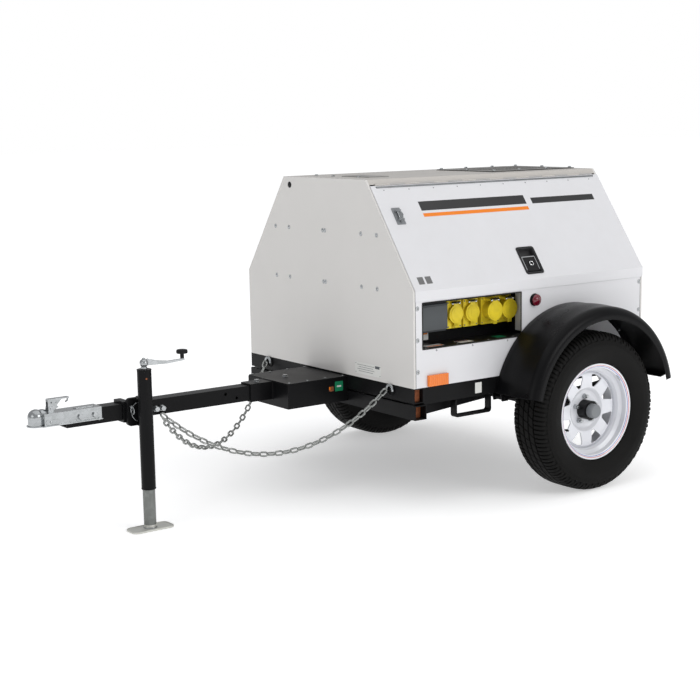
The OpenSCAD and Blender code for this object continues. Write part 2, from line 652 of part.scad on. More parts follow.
// Rim: flanges, drop centre, and a dished disc with eight windows. Local +Z is outwards
rim_half = 76;
disc_r = rim_d / 2 - 38;
window_n = 8;
hub_bore = 84;
stud_n = 5;
module rim(side) {
  r = rim_d / 2;
  color("white") on_wheel(side) difference() {
    union() {
      rotate_extrude($fn = 96) {
        polygon([[r, rim_half], [r, rim_half - 4], [r - 14.4, rim_half - 10], [r - 14.4, rim_half - 34],
                 [r - 30, rim_half - 44], [r - 36, rim_half - 56], [r - 36, rim_half - 106],
                 [r - 14.4, rim_half - 122], [r - 14.4, -rim_half + 10], [r, -rim_half + 4], [r, -rim_half],
                 [r - 6, -rim_half], [r - 19, -rim_half + 8], [r - 19, -rim_half + 27], [r - 40, -rim_half + 44],
                 [r - 40, rim_half - 54], [r - 34, rim_half - 41], [r - 19, rim_half - 31],
                 [r - 19, rim_half - 8], [r - 6, rim_half]]);
        polygon([[hub_bore / 2, 0], [76, 0], [84, 3], [96, 14], [140, 20], [disc_r - 12, 18], [disc_r - 1, 8],
                 [disc_r - 1, 3], [disc_r - 14, 13], [140, 15], [98, 9], [86, -2], [78, -5], [hub_bore / 2, -5]]);
      }
    }
    for (i = [0:window_n - 1]) rotate([0, 0, (i + 0.5) * 360 / window_n]) translate([0, 0, -10])
      linear_extrude(60) polygon(rounded([[104, -7], [152, -34], [158, 0], [152, 34], [104, 7]], 6));
    for (i = [0:stud_n - 1]) rotate([0, 0, 90 + i * 360 / stud_n])
      translate([stud_pcd / 2, 0, -10]) cylinder(d = 13.5, h = 20);
    rotate([0, 0, 200]) translate([r - 32, 0, rim_half - 50]) cylinder(d = 11, h = 30);
  }
}
module rim_left() { rim(-1); }
module rim_right() { rim(1); }
module hub(side) {
  on_wheel(side) {
    color([0.09, 0.09, 0.1]) difference() {
      union() {
        translate([0, 0, -17]) cylinder(d = 140, h = 11.8);
        translate([0, 0, -50]) cylinder(d = 88, h = 34);
        translate([0, 0, -8]) cylinder(d = hub_bore - 0.4, h = 52);
      }
      translate([0, 0, -60]) cylinder(d = spindle_d + 2 * pin_gap, h = 98);
    }
    color("silver") translate([0, 0, 44]) { cylinder(d = 62, h = 26); translate([0, 0, 26]) cylinder(d1 = 62, d2 = 54, h = 5); }
    color("black") rotate([0, 0, 200]) translate([rim_d / 2 - 32, 0, rim_half - 49]) cylinder(d = 8, h = 36);
  }
}
module hub_left() { hub(-1); }
module hub_right() { hub(1); }
module lug_nuts(side) {
  color("silver") on_wheel(side) for (i = [0:stud_n - 1]) rotate([0, 0, 90 + i * 360 / stud_n])
    translate([stud_pcd / 2, 0, 0]) {
      translate([0, 0, -5]) cylinder(d = 12.6, h = 29);
      translate([0, 0, 0.1]) cylinder(d = 22, h = 16, $fn = 6);
    }
}
module lug_nuts_left() { lug_nuts(-1); }
module lug_nuts_right() { lug_nuts(1); }

// Fender: a shell swept about the wheel, with a rounded outer shoulder and a turned lip
fender_r = tyre_d / 2 + fender_gap;
fender_y0 = side_y + 1;
fender_t = 4;
fender_x = axle_x + 22;
fender_z = hub_z + 16;
fender_a0 = 12;
fender_a1 = 168;
function fender_line(d) = [
  [fender_r - 24, d], [fender_r - d, d],
  for (k = [0:6]) [fender_r - 45, fender_w - 45] + (45 - d) * [cos(k * 12), sin(k * 12)],
  [fender_r - 50 - d * 0.2, fender_w - 3 - d], [fender_r - 54, fender_w - 3 - d]
];
module fender_sweep(a0, a1) {
  translate([fender_x, -fender_y0, fender_z]) rotate([90, 0, 0])
    rotate([0, 0, a0]) rotate_extrude(angle = a1 - a0, $fn = 96) children();
}
module fenders() {
  a = fender_line(0);
  b = fender_line(fender_t);
  color([0.07, 0.07, 0.075]) both_sides() {
    fender_sweep(fender_a0, fender_a1)
      polygon(concat(a, [for (i = [len(b) - 1:-1:0]) b[i]]));
    // The turned lip at each end
    for (e = [fender_a0 - 0.4, fender_a1 - 0.4])
      fender_sweep(e, e + 0.8) translate([fender_r - 30, 6]) square([29, fender_w - 66]);
  }
}
module step_loops() {
  x0 = axle_x - 622;
  x1 = axle_x - 424;
  z0 = skid_z0 - 78;
  color([0.09, 0.09, 0.1]) both_sides() carry_y(-side_y + 2, -side_y + 32) difference() {
    polygon(rounded([[x0, skid_z0], [x0, z0], [x1, z0], [x1, skid_z0]], 14));
    polygon(rounded([[x0 + 10, skid_z0 + 30], [x0 + 10, z0 + 10], [x1 - 10, z0 + 10], [x1 - 10, skid_z0 + 30]], 8));
    translate([x0 - 5, skid_z0]) square([x1 - x0 + 10, 60]);
  }
}
module base_tray() {
  color([0.1, 0.1, 0.11]) span([canopy_x0 + end_flange + 1, -side_y + ledge_w + 1, skid_top],
                              [canopy_x1 - end_flange - 1, side_y - ledge_w - 1, skid_top + 3]);
}

// ---------- tongue, box and coupler ----------
sleeve_t = 6;
sleeve_gap = 0.4;
sleeve_w = tongue_w + 2 * (sleeve_t + sleeve_gap);
box_x0 = canopy_x0 - box_l;
sleeve_x0 = box_x0 - 110;
tongue_x0 = ball_x + 113;
box_top = tongue_z + tongue_w / 2 + 5.25;
box_bottom = box_top - 104;
lid_t = 4;
module tongue_sleeve() {
  difference() {
    span([sleeve_x0, -sleeve_w / 2, tongue_z - sleeve_w / 2], [box_x0, sleeve_w / 2, tongue_z + sleeve_w / 2]);
    span([sleeve_x0 - 1, -tongue_w / 2 - sleeve_gap, tongue_z - tongue_w / 2 - sleeve_gap],
         [box_x0 + 1, tongue_w / 2 + sleeve_gap, tongue_z + tongue_w / 2 + sleeve_gap]);
    rod_z(13, tongue_z, tongue_z + 60, sleeve_x0 + 55, 0);
  }
}
tongue_hole_d = 13;
module tongue_tube() {
  color([0.08, 0.08, 0.09]) difference() {
    square_tube_x(tongue_w, tongue_w, 5, tongue_x0, box_x0 - 2, 0, tongue_z);
    for (i = [0, 1]) rod_y(tongue_hole_d, -50, 50, sleeve_x0 - 65 - 54 * i, tongue_z - 12 + 22 * i);
    rod_z(13, tongue_z, tongue_z + 60, sleeve_x0 + 55, 0);
  }
}
// The sleeve is welded to the box
module tongue_box() {
  color([0.08, 0.08, 0.09]) {
    tongue_sleeve();
    difference() {
      span([box_x0, -box_w / 2, box_bottom], [canopy_x0, box_w / 2, box_top]);
      span([box_x0 + box_t, -box_w / 2 + box_t, box_bottom + box_t],
           [canopy_x0 - box_t, box_w / 2 - box_t, box_top + 1]);
      for (x = lid_screw_x, y = [-1, 1]) rod_z(6.5, box_top - 15, box_top + 1, x, y * lid_screw_y);
    }
    for (x = lid_screw_x, y = [-1, 1]) difference() {
      rod_z(16, box_top - 16, box_top, x, y * lid_screw_y);
      rod_z(6.5, box_top - 15, box_top + 1, x, y * lid_screw_y);
    }
  }
}
box_t = 3;
lid_x1 = canopy_x0 - 3;
lid_screw_x = [for (i = [0:3]) box_x0 + 14 + i * (lid_x1 - box_x0 - 28) / 3];
lid_screw_y = box_w / 2 - 10;
module tongue_box_lid() {
  color([0.1, 0.1, 0.11]) difference() {
    translate([(box_x0 + lid_x1) / 2, 0, box_top]) linear_extrude(lid_t) round_rect(lid_x1 - box_x0 - 1, box_w + 4, 8);
    for (x = lid_screw_x, y = [-1, 1]) rod_z(6.5, box_top - 1, box_top + lid_t + 1, x, y * lid_screw_y);
  }
}
module tongue_fasteners() {
  color("silver") {
    for (x = lid_screw_x, y = [-1, 1]) {
      translate([x, y * lid_screw_y, box_top + lid_t]) cylinder(d = 11, h = 3);
      rod_z(6, box_top - 14, box_top + lid_t, x, y * lid_screw_y);
    }
    for (x = coupler_bolt_x) both_sides() face_left(x, -coupler_w / 2, tongue_z + 8) hex_head(11);
    translate([box_x0 + 89, 0, box_top + lid_t]) hex_head(12);
    translate([sleeve_x0 + 55, 0, tongue_z + sleeve_w / 2]) hex_head(12);
    rod_z(12, tongue_z + 20, tongue_z + sleeve_w / 2, sleeve_x0 + 55, 0);
  }
}
// Coupler: a channel over the tongue's nose with a ball socket in front
coupler_x1 = ball_x + 261;
coupler_t = 4;
coupler_z1 = tongue_z + tongue_w / 2 + coupler_t + 0.3;
coupler_z0 = tongue_z - 13;
ball_z = tongue_z + 22;
coupler_w = tongue_w + 2 * coupler_t + 0.6;
socket_r = ball_d / 2 + 1;
module coupler_body() {
  color("silver") difference() {
    union() {
      span([ball_x + 20, -coupler_w / 2, coupler_z0], [coupler_x1, coupler_w / 2, coupler_z1]);
      span([ball_x + 10, -coupler_w / 2 - 9, coupler_z0], [coupler_x1, coupler_w / 2 + 9, coupler_z0 + 4]);
      translate([ball_x, 0, ball_z]) sphere(r = socket_r + 5, $fn = 64);
      translate([ball_x + 26, 0, ball_z + 2]) sphere(r = 27, $fn = 64);
      rod_z(2 * coupler_nose, coupler_z0, coupler_z0 + 4, ball_x, 0);
      rod_z(2 * (socket_r + 4), coupler_z0, ball_z, ball_x, 0);
      for (y = [-16, 12.5]) carry_y(y, y + 3.5) translate([latch_pivot_x, 0])
        polygon([[-12, coupler_z1], [-8, latch_pivot_z + 8], [8, latch_pivot_z + 8], [12, coupler_z1]]);
    }
    translate([ball_x, 0, ball_z]) sphere(r = socket_r, $fn = 64);
    rod_z(2 * socket_r, coupler_z0 - 30, ball_z, ball_x, 0);
    translate([ball_x - 60, -60, coupler_z0 - 40]) cube([150, 120, 40]);
    span([ball_x + socket_r + 3.6, -tongue_w / 2 - 0.3, coupler_z0 - 1], [coupler_x1 + 1, tongue_w / 2 + 0.3, coupler_z1 - coupler_t]);
  }
  color("silver") rod_y(latch_pin_d, -19, 19, latch_pivot_x, latch_pivot_z);
}
coupler_bolt_x = [coupler_x1 - 30, coupler_x1 - 92];
latch_pivot_x = ball_x + 58;
latch_pivot_z = coupler_z1 + 13;
latch_pin_d = 8;
// The latch lever: two cheeks and a handle, which turn on a pin in the coupler's ears
module coupler_latch() {
  color("silver") difference() {
    union() {
      for (y = [-12, 9]) carry_y(y, y + 3) translate([latch_pivot_x, latch_pivot_z]) polygon([
        [-9, -8], [8, -8], [34, 4], [26, 12], [52, 38], [-9, 38]
      ]);
      span([latch_pivot_x - 9, -12, latch_pivot_z + 34], [latch_pivot_x + 80, 12, latch_pivot_z + 38]);
    }
    rod_y(latch_pin_d + 2 * pin_gap, -20, 20, latch_pivot_x, latch_pivot_z);
    for (x = [4, 22]) rod_y(6, -20, 20, latch_pivot_x + x, latch_pivot_z + 24);
  }
}

// ---------- jack ----------
swivel_y = -tongue_w / 2;
boss_d = 76;
// The pull pin locks the jack upright or swung up
pull_r = 50;
pull_a = 152;
pull_d = 12;
jack_swing = 70;
pull_x = jack_x + pull_r * cos(pull_a);
pull_z = tongue_z + pull_r * sin(pull_a);
jack_y = -jack_side;
module jack_bracket() {
  color([0.08, 0.08, 0.09]) {
    difference() {
      union() {
        for (x = [jack_x - 64, jack_x + 34]) span([x, -tongue_w / 2 - 9, tongue_z - tongue_w / 2 - 10], [x + 30, tongue_w / 2 + 9, tongue_z + tongue_w / 2 + 10]);
        span([jack_x - 64, swivel_y - 9, tongue_z - tongue_w / 2 - 10], [jack_x + 64, swivel_y, tongue_z + tongue_w / 2 + 10]);
      }
      span([jack_x - 70, -tongue_w / 2, tongue_z - tongue_w / 2], [jack_x + 70, tongue_w / 2, tongue_z + tongue_w / 2]);
      for (a = [0, jack_swing]) rod_y(pull_d + 0.6, swivel_y - 10, swivel_y + 1,
        jack_x + pull_r * cos(pull_a - a), tongue_z + pull_r * sin(pull_a - a));
    }
    rod_y(boss_d, swivel_y - 28, swivel_y - 9, jack_x, tongue_z);
    rod_y(boss_d + 8, swivel_y - 31, swivel_y - 28, jack_x, tongue_z);
  }
}
collar_y0 = swivel_y - 27.5;
collar_y1 = swivel_y - 9.5;
module jack_outer_tube() {
  color([0.09, 0.09, 0.1]) difference() {
    union() {
      rod_z(jack_d, jack_bottom, jack_top, jack_x, jack_y);
      difference() {
        carry_y(collar_y0, collar_y1) translate([jack_x, tongue_z]) round_rect(112, 112, 16);
        rod_y(boss_d + 2 * pin_gap, collar_y0 - 1, collar_y1 + 1, jack_x, tongue_z);
      }
      for (z = [-54, 48]) span([jack_x - 20, jack_y, tongue_z + z], [jack_x + 20, collar_y0 + 1, tongue_z + z + 6]);
    }
    rod_z(jack_d - 7, jack_bottom - 1, jack_top - 4, jack_x, jack_y);
    rod_z(20, jack_top - 10, jack_top + 1, jack_x, jack_y);
    rod_y(pull_d + 2 * pin_gap, collar_y0 - 5, collar_y1 + 5, pull_x, pull_z);
  }
}
leg_d = jack_d - 7 - 2 * 0.1;
foot_t = 6;
foot_l = 186;
foot_w = 88;
leg_top = jack_bottom + 190;
module jack_inner_leg() {
  color("silver") difference() {
    rod_z(leg_d, foot_t, leg_top, jack_x, jack_y);
    rod_z(leg_d - 8, foot_t + 8, leg_top + 1, jack_x, jack_y);
  }
}
module jack_foot() {
  color("silver") translate([jack_x, jack_y, 0]) {
    linear_extrude(foot_t) round_rect(foot_l, foot_w, 26);
  }
}
crank_z = jack_top + 24;
module jack_crank() {
  color("silver") {
    rod_z(19.8, jack_top - 3.5, crank_z, jack_x, jack_y);
    rod_z(26, jack_top + 0.5, jack_top + 8, jack_x, jack_y);
    translate([jack_x, jack_y, crank_z]) sphere(d = 34);
    translate([jack_x, jack_y, 0]) rotate([90, 0, 0]) translate([0, 0, -6]) linear_extrude(12) polygon([
      [0, crank_z + 12], [20, crank_z + 15], [60, crank_z + 4], [110, crank_z - 3], [crank_l + 8, crank_z - 1],
      [crank_l + 8, crank_z - 8], [110, crank_z - 13], [60, crank_z - 12], [20, crank_z - 11], [0, crank_z - 12]
    ]);
    rod_z(7.9, crank_z - 5, crank_z + 30, jack_x + crank_l, jack_y);
  }
}
module jack_knob() {
  color("black") difference() {
    union() {
      rod_z(16, crank_z + 0.5, crank_z + 24, jack_x + crank_l, jack_y);
      rod_z(44, crank_z + 20, crank_z + 34, jack_x + crank_l, jack_y);
    }
    rod_z(8, crank_z - 1, crank_z + 30.5, jack_x + crank_l, jack_y);
  }
}
module jack_pull_pin() {
  color("silver") {
    rod_y(pull_d, collar_y0 - 16, swivel_y - 9.3, pull_x, pull_z);
    translate([pull_x, collar_y0 - 20, pull_z - 14]) rotate([0, 90, 0]) rotate_extrude() translate([14, 0]) circle(d = 4, $fn = 24);
  }
}

// ---------- safety chains ----------
// Hyperbolic functions for the hanging curve
function sinh(x) = (exp(x) - exp(-x)) / 2;
function cosh(x) = (exp(x) + exp(-x)) / 2;
function asinh(x) = ln(x + sqrt(x * x + 1));
// The curve's size a, for a span h and a reduced length k: 2 a sinh(h / 2a) = k
function curve_size(h, k, lo = 40, hi = 40000, n = 60) =
  n == 0 ? (lo + hi) / 2
  : let(a = (lo + hi) / 2) 2 * a * sinh(h / 2 / a) > k ? curve_size(h, k, a, hi, n - 1) : curve_size(h, k, lo, a, n - 1);
// One link, along local X, flat in the local XY plane
link_w = 26;
module chain_link() {
  r = (link_w - wire_d) / 2;
  half = (link_pitch + wire_d) / 2 - r - wire_d / 2;
  for (side = [-1, 1]) {
    translate([side * half, 0, 0]) rotate([0, 0, side > 0 ? -90 : 90])
      rotate_extrude(angle = 180, $fn = 24) translate([r, 0]) circle(d = wire_d, $fn = 16);
    translate([-half, side * r, 0]) rotate([0, 90, 0]) cylinder(d = wire_d, h = 2 * half, $fn = 16);
  }
}
module hanging_chain(a, b, length) {
  plan = [b.x - a.x, b.y - a.y];
  h = norm(plan);
  v = b.z - a.z;
  size = curve_size(h, sqrt(length * length - v * v));
  x0 = h / 2 - size * ln((1 + v / length) / (1 - v / length)) / 2;
  s0 = size * sinh(-x0 / size);
  n = floor(length / link_pitch);
  heading = atan2(plan.y, plan.x);
  for (i = [0:n - 1]) {
    s = s0 + (i + 0.5) * length / n;
    t = size * asinh(s / size);
    translate([a.x + plan.x * (t + x0) / h, a.y + plan.y * (t + x0) / h, a.z + size * (cosh(t / size) - cosh(x0 / size))])
      rotate([0, -atan(s / size), heading]) rotate([i % 2 == 0 ? 45 : -45, 0, 0]) chain_link();
  }
}
ring_y = side_y - 157;
ring_z = skid_top - 19;
near_a = [jack_x + 100, -tongue_w / 2 - 13, tongue_z - 27];
far_a = [jack_x + 112, -tongue_w / 2 + 2, tongue_z - 44];
near_b = [canopy_x0 - 21, -ring_y, ring_z];
far_b = [canopy_x0 - 21, ring_y, ring_z];
module chain_near() { color("silver") hanging_chain(near_a, near_b, chain_near_l); }
module chain_far() { color("silver") hanging_chain(far_a, far_b, chain_far_l); }
// The two bolts on the tongue and the welded rings on the front rail
module chain_anchors() {
  color("silver") {
    for (x = [jack_x + 83, jack_x + 111]) face_left(x, -tongue_w / 2, tongue_z - 6) {
      cylinder(d = 13, h = 14);
      translate([0, 0, 0]) cylinder(d = 24, h = 3);
      translate([0, 0, 11]) cylinder(d = 22, h = 8, $fn = 6);
    }
    both_sides() translate([canopy_x0 - 6, -ring_y - 4, ring_z - 4]) rotate([0, 90, 0]) difference() {
      rotate_extrude() translate([20, 0]) circle(d = 12);
      translate([4, -40, -20]) cube([60, 80, 40]);
    }
  }
}

// ---------- lamps, fasteners ----------
lamp_w = 150;
module lamps() {
  both_sides() {
    color("orange") span([canopy_x0 + 70, -side_y - 12, skid_top + 3], [canopy_x0 + 173, -side_y, skid_top + 49]);
    color("red") span([canopy_x1, -side_y + 20, skid_z0 + 2], [canopy_x1 + lamp_t, -side_y + 20 + lamp_w, skid_z0 + 64]);
  }
}
module canopy_fasteners() {
  color("silver") {
    for (z = bolt_rows, y = bolt_cols, side = [-1, 1]) {
      face_front(canopy_x0, side * y, z) dome_head(13);
    }
    for (z = [knee_z + 52, knee_z + 214], y = [-348, -14, 14, 348]) face_rear(canopy_x1, y, z) dome_head(13);
    both_sides() {
      for (z = [66, 196, 326]) face_left(canopy_x0 + 21, -side_y, skid_top + z) dome_head(12);
      for (z = [76, 205, 332]) face_left(canopy_x1 - 20, -side_y, skid_top + z) dome_head(12);
    }
    for (x = [120, 313, 507]) face_left(canopy_x0 + x, -side_y, recess_z0 - 10) dome_head(9);
    for (y = [-103, 83, 211]) translate([canopy_x0 + 115, y, top_z]) hex_head(8);
    for (x = [14, hatch_l / 3, 2 * hatch_l / 3, hatch_l - 14], y = [-1, 1])
      translate([hatch_x0 + x, y * (hatch_w / 2 - 14), top_z + hatch_t]) hex_head(8);
    for (side = [-1, 1]) translate([hatch_x0 + (side < 0 ? 14 : hatch_l - 14), 0, top_z + hatch_t]) hex_head(8);
  }
}

// ---------- inside the canopy ----------
engine_x0 = axle_x - 60;
engine_x1 = axle_x + 270;
crank_axis_z = skid_top + 190;
module engine() {
  color([0.25, 0.27, 0.3]) {
    span([engine_x0, -110, skid_top + 120], [engine_x1, 110, skid_top + 430]);
    span([engine_x0 + 20, -80, skid_top + 50], [engine_x1 - 20, 80, skid_top + 120]);
    span([engine_x0 + 10, -75, skid_top + 430], [engine_x1 - 10, 75, skid_top + 500]);
    rod_x(280, engine_x0 - 60, engine_x0, 0, crank_axis_z);
    for (x = [engine_x0 + 60, engine_x1 - 60], side = [-1, 1])
      span([x - 25, side > 0 ? 110 : -190, skid_top + 60], [x + 25, side > 0 ? 190 : -110, skid_top + 130]);
    for (x = [engine_x0 + 60, engine_x1 - 60], side = [-1, 1])
      rod_z(50, skid_top + 3, skid_top + 60, x, side * 160);
    rod_x(150, engine_x0 + 20, engine_x1 - 40, 260, skid_top + 560);
    rod_x(170, engine_x0 + 30, engine_x1 - 60, -250, skid_top + 540);
    for (x = [engine_x0 + 60, engine_x0 + 165]) span([x - 20, 74, skid_top + 440], [x + 20, 220, skid_top + 520]);
    span([engine_x0 + 80, -200, skid_top + 470], [engine_x0 + 120, -74, skid_top + 495]);
  }
}
alt_l = 360;
module alternator() {
  color([0.15, 0.3, 0.45]) {
    rod_x(300, engine_x0 - 60 - alt_l, engine_x0 - 60, 0, crank_axis_z);
    span([engine_x0 - 60 - alt_l + 60, -110, crank_axis_z + 120], [engine_x0 - 120, 110, crank_axis_z + 210]);
    for (side = [-1, 1]) span([engine_x0 - 60 - alt_l + 50, side * 110 - 30, skid_top + 3], [engine_x0 - 110, side * 110 + 30, crank_axis_z - 60]);
  }
}
module cooling_pack() {
  x1 = canopy_x1 - 60;
  color([0.3, 0.3, 0.32]) {
    span([x1 - 50, -260, skid_top + 60], [x1, 260, skid_top + 520]);
    span([x1 - 65, -290, skid_top + 3], [x1 + 8, -260, skid_top + 560]);
    span([x1 - 65, 260, skid_top + 3], [x1 + 8, 290, skid_top + 560]);
    // Shroud around the fan
    difference() {
      span([x1 - 90, -230, fan_z - 205], [x1 - 50, 230, fan_z + 205]);
      rod_x(fan_d + 20, x1 - 91, x1 - 49, 0, fan_z);
    }
  }
}
fan_d = 360;
fan_z = crank_axis_z + 110;
fan_blades = 7;
module cooling_fan() {
  x0 = canopy_x1 - 60 - 85;
  color("whitesmoke") {
    rod_x(110, x0, x0 + 30, 0, fan_z);
    translate([x0 + 15, 0, fan_z]) for (i = [0:fan_blades - 1])
      rotate([i * 360 / fan_blades, 0, 0]) rotate([0, 0, 32]) translate([-1.5, -26, 40]) cube([3, 52, fan_d / 2 - 44]);
  }
  color("dimgray") {
    rod_x(24, x0 - 20, x0, 0, fan_z);
    rod_x(80, x0 - 20, x0 - 2, 0, fan_z);
  }
}
module fuel_tank() {
  color([0.12, 0.12, 0.13]) {
    translate([canopy_x0 + 60, 0, skid_top + 3]) linear_extrude(300)
      translate([95, 60]) round_rect(190, 900, 30);
    rod_z(60, skid_top + 302, skid_top + 330, cap_x, -cap_y);
  }
}
cap_x = canopy_x0 + 155;
cap_y = 330;
module fuel_cap() {
  color("black") difference() {
    rod_z(86, skid_top + 312, skid_top + 345, cap_x, -cap_y);
    rod_z(60 + 2 * pin_gap, skid_top + 311, skid_top + 331, cap_x, -cap_y);
  }
}

skid_frame();
lower_frame();
tongue_tube();
tongue_box();
tongue_box_lid();
tongue_fasteners();
coupler_body();
coupler_latch();
jack_bracket();
jack_outer_tube();
jack_inner_leg();
jack_foot();
jack_crank();
jack_knob();
jack_pull_pin();
chain_near();
chain_far();
chain_anchors();
axle_beam();
leaf_springs();
spring_hangers();
spring_clamps();
tyre_left();
tyre_right();
rim_left();
rim_right();
hub_left();
hub_right();
lug_nuts_left();
lug_nuts_right();
fenders();
step_loops();
base_tray();
front_panel();
rear_panel();
side_panel_left();
side_panel_right();
roof_panel();
roof_hatch();
door_left();
door_right();
door_hinges();
latch_left();
latch_right();
canopy_fasteners();
outlet_tray();
outlet_sockets();
socket_cover_1();
socket_cover_2();
socket_cover_3();
socket_cover_4();
breaker_flap();
stop_button();
lamps();
engine();
alternator();
cooling_pack();
cooling_fan();
fuel_tank();
fuel_cap();
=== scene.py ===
import math

import bmesh
import bpy
from bpy.props import FloatProperty, FloatVectorProperty, IntProperty, PointerProperty
from mathutils import Matrix, Vector


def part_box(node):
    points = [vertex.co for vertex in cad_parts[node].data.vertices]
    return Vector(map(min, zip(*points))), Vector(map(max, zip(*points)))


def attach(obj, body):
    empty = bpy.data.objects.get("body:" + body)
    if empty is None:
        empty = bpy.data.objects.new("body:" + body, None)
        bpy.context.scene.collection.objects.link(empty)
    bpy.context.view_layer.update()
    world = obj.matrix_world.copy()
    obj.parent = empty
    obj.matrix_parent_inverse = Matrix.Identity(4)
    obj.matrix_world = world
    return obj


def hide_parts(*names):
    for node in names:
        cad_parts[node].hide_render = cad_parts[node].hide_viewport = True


bl_info = {
    "name": "Towable Generator",
    "version": (1, 0, 0),
    "blender": (4, 5, 0),
    "location": "3D View > Sidebar > Generator",
    "description": "Finishes and fine pieces for a towable diesel generator",
    "category": "Object",
}

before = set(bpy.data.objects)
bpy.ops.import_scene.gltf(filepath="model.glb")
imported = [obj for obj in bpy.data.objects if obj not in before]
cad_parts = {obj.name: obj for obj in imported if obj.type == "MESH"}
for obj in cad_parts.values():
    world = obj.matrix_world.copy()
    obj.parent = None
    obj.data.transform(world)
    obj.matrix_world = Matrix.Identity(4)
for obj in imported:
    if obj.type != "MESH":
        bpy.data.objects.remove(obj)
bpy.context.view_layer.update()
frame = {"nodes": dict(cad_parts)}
NODE = frame["nodes"]


# ---------- places taken from the frame ----------
def low(node):
    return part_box(node)[0]


def high(node):
    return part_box(node)[1]


def middle(node, axis):
    return (low(node)[axis] + high(node)[axis]) / 2


SHEET = 0.0025
CANOPY_X0 = low("front_panel")[0]
CANOPY_X1 = CANOPY_X0 + 1.326
SIDE_Y = high("front_panel")[1]
TOP_Z = high("front_panel")[2]
SKID_Z = low("front_panel")[2]
KNEE_Z = SKID_Z + 0.395
ROOF_Y = 0.302
AXLE_X = middle("tyre_left", 0)
HUB_Z = middle("tyre_left", 2)
TYRE_R = (high("tyre_left")[0] - low("tyre_left")[0]) / 2
TYRE_HALF = (high("tyre_left")[1] - low("tyre_left")[1]) / 2
TYRE_Y = abs(middle("tyre_left", 1))
RIM_R = (high("rim_left")[0] - low("rim_left")[0]) / 2
DOOR_OUT = 0.0035
SIDES = ((-1, "left"), (1, "right"))

SLOPE = math.hypot(SIDE_Y - ROOF_Y, TOP_Z - KNEE_Z)
DOWN = Vector((0, -(SIDE_Y - ROOF_Y), -(TOP_Z - KNEE_Z))) / SLOPE
OUT = Vector((0, DOWN.z, -DOWN.y))

LATCH_X = AXLE_X - 0.162
LATCH_S = SLOPE - 0.089
SHARP = math.radians(35)
ANY_TURN = 6.28
FILM_EDGE = 0.0001


# ---------- placers: local (across, up, out) to the shared frame ----------
def on_door(x, s, side=-1, n=DOOR_OUT):
    """A place on the sloping door, s down from the roof's edge."""

    def place(u, v, w):
        p = Vector((0, -ROOF_Y, TOP_Z)) + DOWN * (s - v) + OUT * (n + w)
        return Vector((x + u, p.y * -side, p.z))

    return place


def on_side(x, y, z, side=-1):
    """A place on an upright wall that faces the left or the right side."""
    return lambda u, v, w: Vector((x + u, side * (abs(y) + w), z + v))


def on_front(y, z, x=CANOPY_X0):
    """A place on an upright wall that faces the towing end."""
    return lambda u, v, w: Vector((x - w, y + u, z + v))


def on_top(x, y, z):
    return lambda u, v, w: Vector((x + u, y + v, z + w))


def moved(place, du=0.0, dv=0.0, dw=0.0):
    """The same placer, shifted in its own axes."""
    return lambda u, v, w: place(u + du, v + dv, w + dw)


def circle(r, count):
    """Points round a circle, as (across, up)."""
    return [(r * math.cos(math.tau * k / count), r * math.sin(math.tau * k / count)) for k in range(count)]


# ---------- mesh makers ----------
def smoothed(obj, sharp=True):
    for poly in obj.data.polygons:
        poly.use_smooth = True
    if sharp:
        obj.data.set_sharp_from_angle(angle=SHARP)
    return obj


def linked(name, mesh):
    obj = bpy.data.objects.new(name, mesh)
    bpy.context.scene.collection.objects.link(obj)
    return obj


def piece_from(bm, name, key):
    """A finished mesh object with its normals outwards, at the origin."""
    bmesh.ops.remove_doubles(bm, verts=bm.verts, dist=1e-6)
    bmesh.ops.recalc_face_normals(bm, faces=bm.faces)
    mesh = bpy.data.meshes.new(name)
    bm.to_mesh(mesh)
    bm.free()
    mesh.materials.append(MATERIAL[key])
    return smoothed(linked(name, mesh))


def finish_piece(obj, key, body="chassis", slot=None, replaces=()):
    """Puts a piece on its body, after hiding the CAD parts that it replaces; its slot is looked up but not kept."""
    if replaces:
        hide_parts(*replaces)
    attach(obj, body)
    slot or SLOT[key]


class Piece:
    """A new mesh to add to, which becomes a finished piece at the end of the with block."""

    def __init__(self, name, key, body="chassis", slot=None, replaces=()):
        self.name, self.key = name, key
        self.rest = body, slot, replaces

    def __enter__(self):
        self.bm = bmesh.new()
        return self.bm

    def __exit__(self, error, *_):
        if error is None:
            finish_piece(piece_from(self.bm, self.name, self.key), self.key, *self.rest)


def add_grid(bm, rows, close_rows=False, close_cols=False, caps=False):
    """Faces between equal rows of points."""
    grid = [[bm.verts.new(p) for p in row] for row in rows]
    m, n = len(grid), len(grid[0])
    for i in range(m if close_rows else m - 1):
        for j in range(n if close_cols else n - 1):
            a, b = grid[i], grid[(i + 1) % m]
            bm.faces.new((a[j], a[(j + 1) % n], b[(j + 1) % n], b[j]))
    if caps:
        bm.faces.new(grid[0])
        bm.faces.new(grid[-1][::-1])
    return grid


def rounded_outline(w, h, r, steps=4):
    """Points of a rectangle with round corners, centred."""
    points = []
    for k, (sx, sy) in enumerate(((1, 1), (-1, 1), (-1, -1), (1, -1))):
        for i in range(steps + 1):
            a = math.radians(90 * k + 90 * i / steps)
            points.append((sx * (w / 2 - r) + r * math.cos(a), sy * (h / 2 - r) + r * math.sin(a)))
    return points


def add_slab(bm, outline, thick, place, edge=0.0003, base=0.0):
    """A flat plate with a small chamfer round its outer face."""
    cx = sum(p[0] for p in outline) / len(outline)
    cy = sum(p[1] for p in outline) / len(outline)

    def ring(inset, w):
        out = []
        for x, y in outline:
            d = math.hypot(x - cx, y - cy) or 1
            out.append(place(x - (x - cx) / d * inset, y - (y - cy) / d * inset, w))
        return out

    rings = [ring(0, base), ring(0, base + thick - edge), ring(edge, base + thick)]
    add_grid(bm, rings, close_cols=True, caps=True)


